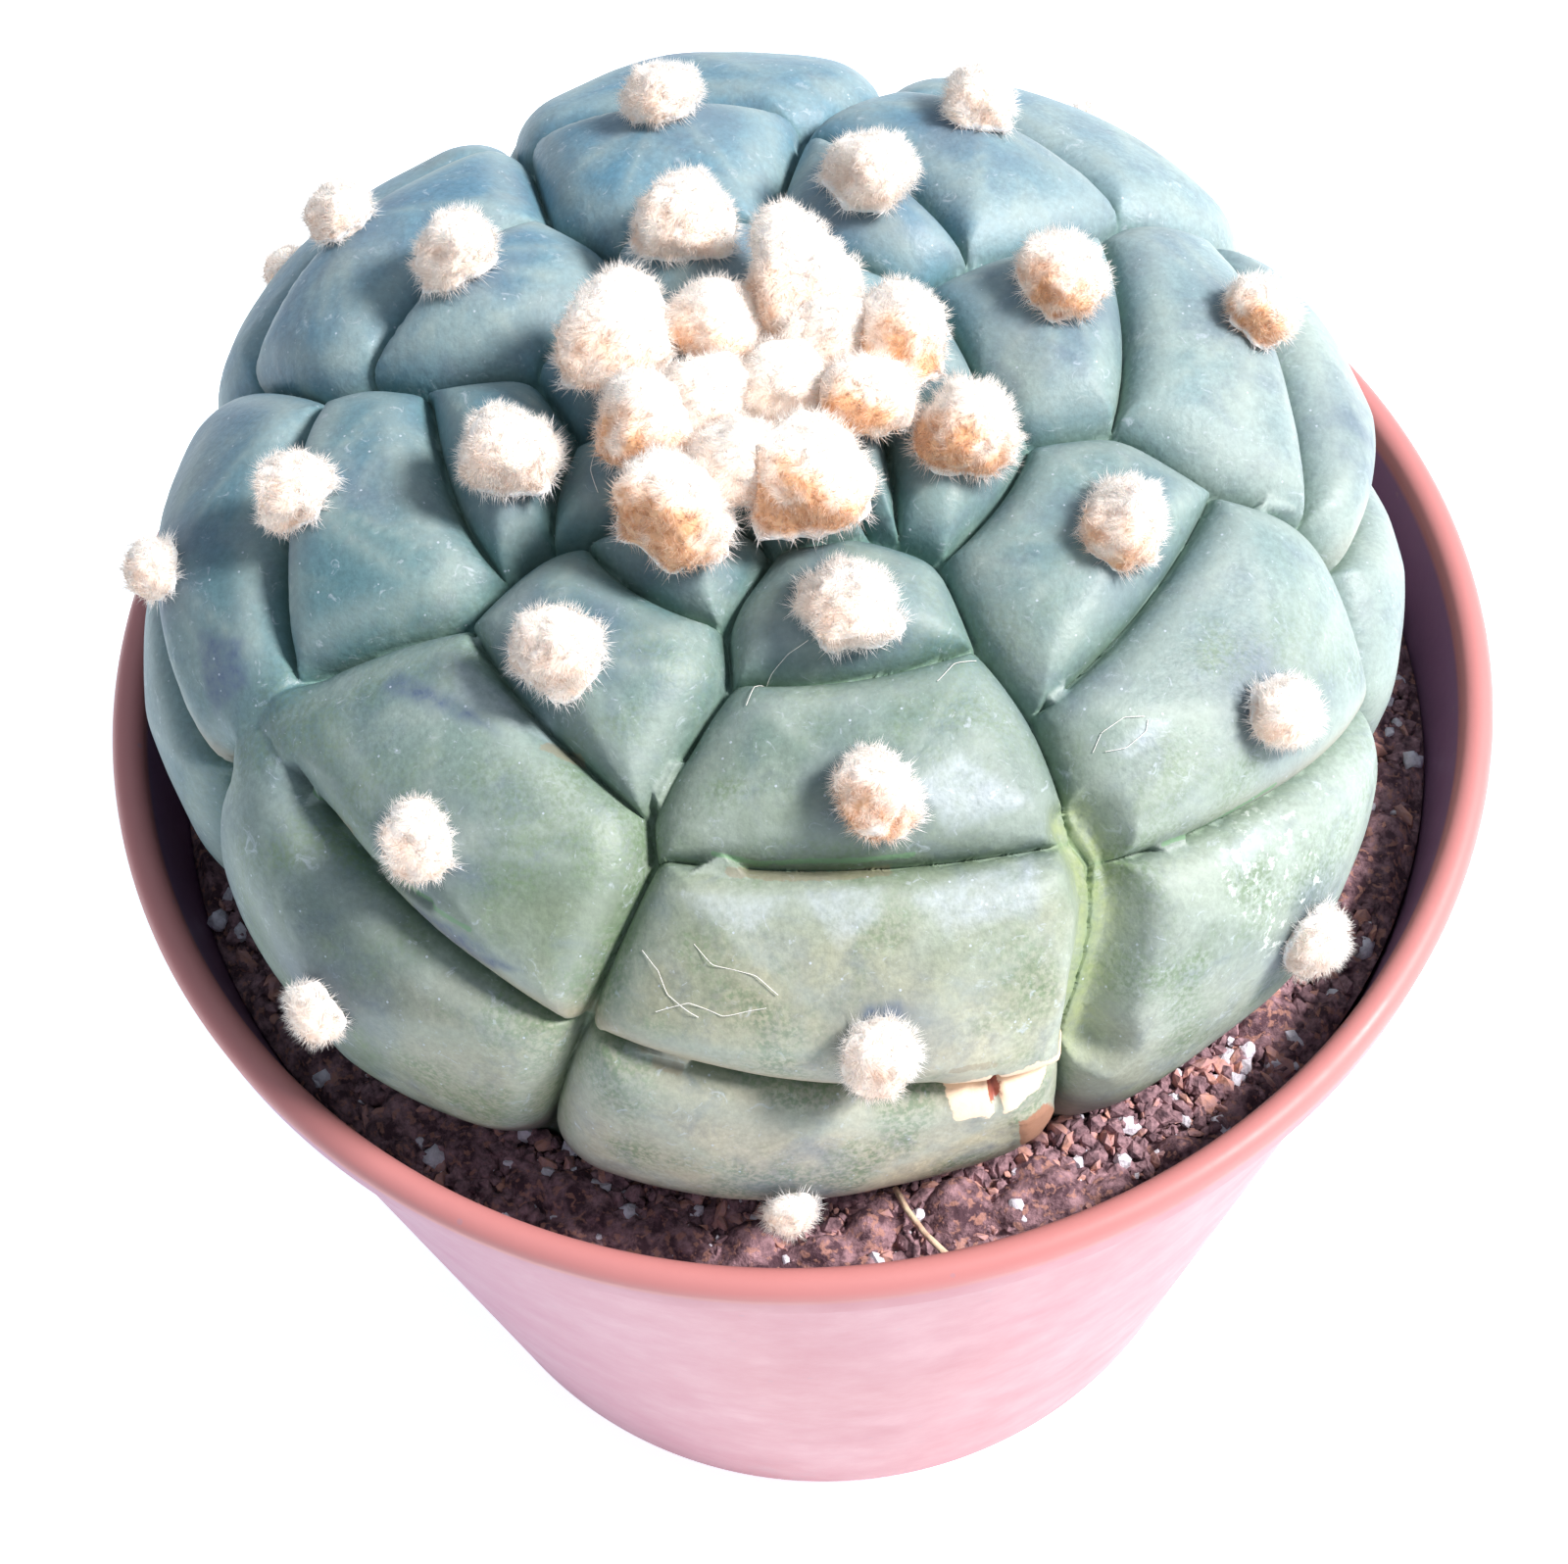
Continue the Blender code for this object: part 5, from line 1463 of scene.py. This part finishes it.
def make_grit(looks):
    """Loose peat crumbs, reddish bark bits and white perlite on the soil."""
    peat = plain_grain_material("peat_crumbs", looks.peat, looks.peat_light, 0.6 * MM)
    bark = plain_grain_material("bark_bits", looks.fibre, looks.peat_light, 0.8 * MM)
    perlite = plain_grain_material("perlite", looks.perlite, GRAIN_SHADES[0], 0.5 * MM)
    make_crumbs("peat_crumbs", peat, density=4.5e6, sizes=(0.3, 1.5), seed=31, flat=0.8)
    make_crumbs("bark_bits", bark, density=1.4e6, sizes=(0.4, 1.9), seed=47, flat=0.45)
    make_crumbs("perlite_grains", perlite, density=6.0e5, sizes=(0.25, 1.6), seed=63, flat=0.9)


def rod(line, radius, sides=5):
    """Points and faces of a thin closed rod along a line of points."""
    line = [Vector(point) for point in line]
    points = []
    for number, point in enumerate(line):
        way = (line[min(number + 1, len(line) - 1)] - line[max(number - 1, 0)]).normalized()
        side = way.orthogonal().normalized()
        other = way.cross(side)
        for i in range(sides):
            turn = math.tau * i / sides
            points.append(point + radius * (math.cos(turn) * side + math.sin(turn) * other))
    faces = band_faces(sides, len(line))
    faces.append(tuple(reversed(range(sides))))
    faces.append(tuple(range(len(points) - sides, len(points))))
    return points, faces


def joined_object(name, parts, surface):
    """One piece from several parts, each given by its points and faces."""
    points, faces = [], []
    for more, made in parts:
        faces += [tuple(index + len(points) for index in face) for face in made]
        points += more
    return mesh_object(name, points, faces, surface)


def make_loose_fibres(looks):
    """Long single fibres that have come off the tufts and lie on the skin."""
    fibres = []
    size, tall = LOOSE_FIBRE_WANDER
    for places in LOOSE_FIBRES:
        table = np.array(places, float)
        steps = np.linspace(0, len(table) - 1, LOOSE_FIBRE_STEPS * len(table))
        away = steps[:, None] - np.arange(len(table))[None, :]
        spread = np.exp(-(away / LOOSE_FIBRE_SOFTNESS) ** 2)
        degrees, along = (spread @ table / spread.sum(axis=1, keepdims=True)).T
        along = along * MM
        plain, normals, _ = on_skin(along, degrees)
        height, _ = skin_relief(plain, along, degrees)
        lift = height + LOOSE_FIBRE_LIFT + tall * soft_noise(plain, size, 8)
        fibres.append(rod(plain + normals * lift[:, None], LOOSE_FIBRE_RADIUS))
    surface = wool_material("loose_fibres", looks)
    dress(joined_object("loose_fibres", fibres, surface), None)


def lump_at(place, size, seed):
    """Points and faces of one rough grain at a place."""
    work = bmesh.new()
    bmesh.ops.create_icosphere(work, subdivisions=2, radius=size / 2)
    chance = random.Random(seed)
    shift = Vector((chance.uniform(0, 50), 0, 0))
    points = []
    for vert in work.verts:
        swell = GRAIN_UNEVEN * noise.noise(vert.co / (GRAIN_LUMP * size) + shift)
        points.append(vert.co * (1 + swell) + Vector(place))
    faces = [tuple(vert.index for vert in face.verts) for face in work.faces]
    work.free()
    return points, faces


def in_pot(degrees, out, height):
    """Point at degrees round the pot's axis and millimetres out and up."""
    turn = math.radians(degrees)
    return out * MM * math.sin(turn), -out * MM * math.cos(turn), height * MM


def make_grains(looks):
    """The white grains and the dry stalk that lie on top of the soil."""
    perlite = plain_grain_material("white_grains", looks.perlite, GRAIN_SHADES[1], 0.5 * MM)
    lumps = [lump_at(in_pot(*place), size * MM, number)
             for number, (*place, size) in enumerate(GRAINS)]
    dress(joined_object("white_grains", lumps, perlite), None)
    straw = plain_grain_material("straw", looks.straw, looks.fibre, 1.5 * MM)
    stalk = rod([in_pot(*place) for place in STRAW], STRAW_RADIUS)
    dress(joined_object("straw", [stalk], straw), None)


def make_studio(looks):
    """A pale floor, soft light from the upper right, and the camera."""
    scene = bpy.context.scene
    work = bmesh.new()
    bmesh.ops.create_grid(work, x_segments=1, y_segments=1, size=FLOOR_HALF_WIDTH)
    floor = object_from_bmesh("studio_floor", work)
    surface, tree, shader, _ = new_material("studio_floor")
    set_inputs(tree, shader, {
        "Base Color": (*looks.floor_colour, 1.0), "Roughness": 0.9,
        "Emission Color": (*looks.floor_glow_colour, 1.0), "Emission Strength": looks.floor_glow})
    floor.data.materials.append(surface)
    world = bpy.data.worlds.new("studio_air")
    world.use_nodes = True
    set_inputs(world.node_tree, world.node_tree.nodes["Background"],
               {"Color": (*looks.air_colour, 1.0), "Strength": looks.air_strength})
    scene.world = world
    lamp = bpy.data.lights.new("key", "AREA")
    lamp.shape = "DISK"
    lamp.size = looks.key_size
    lamp.energy = looks.key_power
    lamp.color = looks.key_colour
    holder = bpy.data.objects.new("key", lamp)
    scene.collection.objects.link(holder)
    aside = math.cos(looks.key_elevation)
    way = Vector((math.sin(looks.key_bearing) * aside, -math.cos(looks.key_bearing) * aside,
                  math.sin(looks.key_elevation)))
    holder.location = Vector((0, 0, POT_HEIGHT)) + way * looks.key_distance
    holder.rotation_euler = way.to_track_quat("Z", "Y").to_euler()
    back = Vector((0, -math.cos(CAMERA_ELEVATION), math.sin(CAMERA_ELEVATION)))
    right = Vector((1, 0, 0))
    up = right.cross(-back)
    rolled_right = math.cos(CAMERA_ROLL) * right + math.sin(CAMERA_ROLL) * up
    rolled_up = -math.sin(CAMERA_ROLL) * right + math.cos(CAMERA_ROLL) * up
    data = bpy.data.cameras.new("photo_camera")
    data.lens = PHOTO_LENS
    data.sensor_width = PHOTO_SENSOR
    data.clip_start = MM
    camera = bpy.data.objects.new("photo_camera", data)
    scene.collection.objects.link(camera)
    turn = Matrix((rolled_right, rolled_up, back)).transposed().to_4x4()
    camera.matrix_world = Matrix.Translation(CAMERA_TARGET + back * CAMERA_DISTANCE) @ turn
    scene.camera = camera
    scene.view_settings.view_transform = "Standard"


def colour_property(name, description, default):
    return bpy.props.FloatVectorProperty(name=name, description=description, default=default,
                                         subtype="COLOR", size=3, min=0.0, max=1.0)


def length_property(name, description, default):
    return bpy.props.FloatProperty(name=name, description=description, default=default,
                                   unit="LENGTH", subtype="DISTANCE", precision=5, min=0.0)


class SkinLooks(bpy.types.PropertyGroup):
    """Sizes and colours of the plant's skin"""

    cell: length_property("Cell", "Size of the skin's cells", 0.5 * MM)
    # Partly painted reflection of the bluish sky light on the top and back
    blue: colour_property("Blue", "Skin of the back", (0.095, 0.215, 0.30))
    teal: colour_property("Blue-green", "Skin of the middle", (0.085, 0.180, 0.200))
    olive: colour_property("Olive", "Skin of the front", (0.165, 0.205, 0.140))
    khaki: colour_property("Khaki", "Lowest skin of the front", (0.52, 0.45, 0.32))
    leaf: colour_property("Leaf green", "Stipple on the fresher skin", (0.11, 0.17, 0.085))
    # Also painted light: laid over the right side of the plant, where the key light falls
    pale: colour_property("Pale green", "Rims, ridges and the side in the sun", (0.36, 0.41, 0.37))
    # Also painted shade: laid over the left side, round the tufts and in some dark patches
    bruise: colour_property("Bruise", "Dark marks round the areoles", (0.085, 0.12, 0.185))
    # Partly painted highlight where it fills the sheen patches; the fine white lines and dots are
    # the skin's own
    sheen: colour_property("Sheen", "Powdery patches and flecks", (0.52, 0.57, 0.66))
    furrow: colour_property("Furrow", "Skin down in the furrows", (0.15, 0.27, 0.15))
    lime: colour_property("Lime", "Young skin down in the open valley", (0.30, 0.34, 0.12))
    edging: colour_property("Edging", "Beige rims of the oldest segments", (0.42, 0.32, 0.24))
    flecks: colour_property("Flecks", "White scale on the right side", (0.80, 0.84, 0.82))
    cork: colour_property("Cork", "Brown edges of old cracks", (0.24, 0.185, 0.12))
    scar: colour_property("Scar", "Dry healed wound", (0.84, 0.62, 0.45))
    cleft: colour_property("Cleft", "Crack in the wound", (0.28, 0.05, 0.03))
    bark: colour_property("Bark", "Brown flake beside the wound", (0.34, 0.14, 0.08))


class WoolLooks(bpy.types.PropertyGroup):
    """Sizes and colours of the wool"""

    strand_length: length_property("Fibre length", "Length of a fibre", 0.62 * MM)
    strand_width: length_property("Fibre width", "Half width of a fibre at its root", 0.016 * MM)
    lean: bpy.props.FloatProperty(name="Lean", description="How far locks lean over", default=2.6)
    young_density: bpy.props.FloatProperty(name="Crown fibres", default=4.8e7,
                                           description="Fibres on a square metre in the crown")
    density: bpy.props.FloatProperty(name="Areole fibres", default=7.5e7,
                                     description="Fibres on a square metre of an older tuft")
    # Painted light: an emission that brightens the wool beyond its lighting
    painted_glow: bpy.props.FloatProperty(name="Glow", default=0.07,
                                  description="Light that the thick wool gives back")
    cream: colour_property("Cream", "Body of the wool", (0.96, 0.87, 0.80))
    # Tan and brown lie on the side away from the key light: partly real staining, partly painted
    # shade
    tan: colour_property("Tan", "Weathered side of a tuft", (0.80, 0.45, 0.25))
    brown: colour_property("Brown", "Deepest in the weathered side", (0.55, 0.22, 0.08))
    white: colour_property("White", "Fringe", (0.98, 0.95, 0.94))


class SoilLooks(bpy.types.PropertyGroup):
    """Colours of the soil"""

    peat: colour_property("Peat", "Damp peat", (0.095, 0.048, 0.062))
    peat_light: colour_property("Dry peat", "Drier crumbs", (0.46, 0.27, 0.30))
    fibre: colour_property("Fibre", "Reddish fibres and bark", (0.58, 0.29, 0.22))
    perlite: colour_property("Perlite", "White grains", (0.85, 0.80, 0.90))
    straw: colour_property("Straw", "Dry stalk", (0.75, 0.60, 0.42))


class PotLooks(bpy.types.PropertyGroup):
    """Colours of the pot"""

    wall: colour_property("Wall", "Bleached wall", (0.46, 0.18, 0.215))
    # Painted shade on the left of the wall
    shaded_wall: colour_property("Far wall", "Wall on the side away from the sun", (0.41, 0.19, 0.28))
    # Painted shade: darker and bluer than the wall
    inside: colour_property("Inside", "Inside of the wall", (0.26, 0.13, 0.24))
    lip: colour_property("Lip", "Rolled lip", (0.49, 0.185, 0.18))
    dust: colour_property("Dust", "Dried soil", (0.36, 0.20, 0.24))


class StudioLooks(bpy.types.PropertyGroup):
    """Light and floor of the studio"""

    floor_colour: colour_property("Floor", "Pale floor", (0.86, 0.92, 0.95))
    floor_glow_colour: colour_property("Floor glow", "Light from the floor", (0.93, 0.97, 1.0))
    floor_glow: bpy.props.FloatProperty(name="Floor glow", default=0.7,
                                        description="Strength of the light from the floor")
    air_colour: colour_property("Air", "Light from all round", (0.76, 0.88, 1.0))
    air_strength: bpy.props.FloatProperty(name="Air strength", default=0.58,
                                          description="Strength of the light from all round")
    key_colour: colour_property("Key", "Key light", (1.0, 0.97, 0.95))
    key_bearing: bpy.props.FloatProperty(name="Key bearing", default=math.radians(80),
                                         description="From the front towards +X",
                                         subtype="ANGLE")
    key_elevation: bpy.props.FloatProperty(name="Key elevation", default=math.radians(48),
                                           description="Over the floor", subtype="ANGLE")
    key_distance: length_property("Key distance", "From the pot to the key light", 0.9)
    key_size: length_property("Key size", "Width of the key light", 0.22)
    key_power: bpy.props.FloatProperty(name="Key power", default=16.0, subtype="POWER",
                                       description="Power of the key light")


class MakePot(bpy.types.Operator):
    """Make the fine pot and hide the plain one"""

    bl_idname = "star_cactus.make_pot"
    bl_label = "Pot"

    def execute(self, context):
        make_pot(context.scene.star_cactus_pot)
        return {"FINISHED"}


class MakeSoil(bpy.types.Operator):
    """Make the soil and the loose grit on it"""

    bl_idname = "star_cactus.make_soil"
    bl_label = "Soil and grit"

    def execute(self, context):
        make_soil(context.scene.star_cactus_soil)
        make_grit(context.scene.star_cactus_soil)
        make_grains(context.scene.star_cactus_soil)
        return {"FINISHED"}


class MakeSkin(bpy.types.Operator):
    """Make the plant's fine skin and hide the plain body"""

    bl_idname = "star_cactus.make_skin"
    bl_label = "Skin"

    def execute(self, context):
        make_skin(context.scene.star_cactus_skin)
        return {"FINISHED"}


class MakeWool(bpy.types.Operator):
    """Make the wool of the crown and of every areole"""

    bl_idname = "star_cactus.make_wool"
    bl_label = "Wool"

    def execute(self, context):
        make_crown_wool(context.scene.star_cactus_wool)
        make_areole_wool(context.scene.star_cactus_wool)
        make_loose_fibres(context.scene.star_cactus_wool)
        return {"FINISHED"}


class MakeStudio(bpy.types.Operator):
    """Make the floor, the lights and the camera"""

    bl_idname = "star_cactus.make_studio"
    bl_label = "Studio"

    def execute(self, context):
        make_studio(context.scene.star_cactus_studio)
        return {"FINISHED"}


LOOKS = {
    "star_cactus_pot": PotLooks,
    "star_cactus_soil": SoilLooks,
    "star_cactus_skin": SkinLooks,
    "star_cactus_wool": WoolLooks,
    "star_cactus_studio": StudioLooks,
}
STEPS = (MakePot, MakeSoil, MakeSkin, MakeWool, MakeStudio)


class StarCactusPanel(bpy.types.Panel):
    """Steps that dress the star cactus"""

    bl_idname = "VIEW3D_PT_star_cactus"
    bl_label = "Star Cactus"
    bl_space_type = "VIEW_3D"
    bl_region_type = "UI"
    bl_category = "Star Cactus"

    def draw(self, context):
        for step in STEPS:
            self.layout.operator(step.bl_idname)


def register():
    for kind in (*LOOKS.values(), *STEPS, StarCactusPanel):
        bpy.utils.register_class(kind)
    for name, kind in LOOKS.items():
        setattr(bpy.types.Scene, name, bpy.props.PointerProperty(type=kind))


def unregister():
    for name in LOOKS:
        delattr(bpy.types.Scene, name)
    for kind in (StarCactusPanel, *reversed(STEPS), *reversed(LOOKS.values())):
        bpy.utils.unregister_class(kind)


def main():
    register()
    for step in STEPS:
        group, name = step.bl_idname.split(".")
        getattr(getattr(bpy.ops, group), name)()


if __name__ == "__main__":
    main()
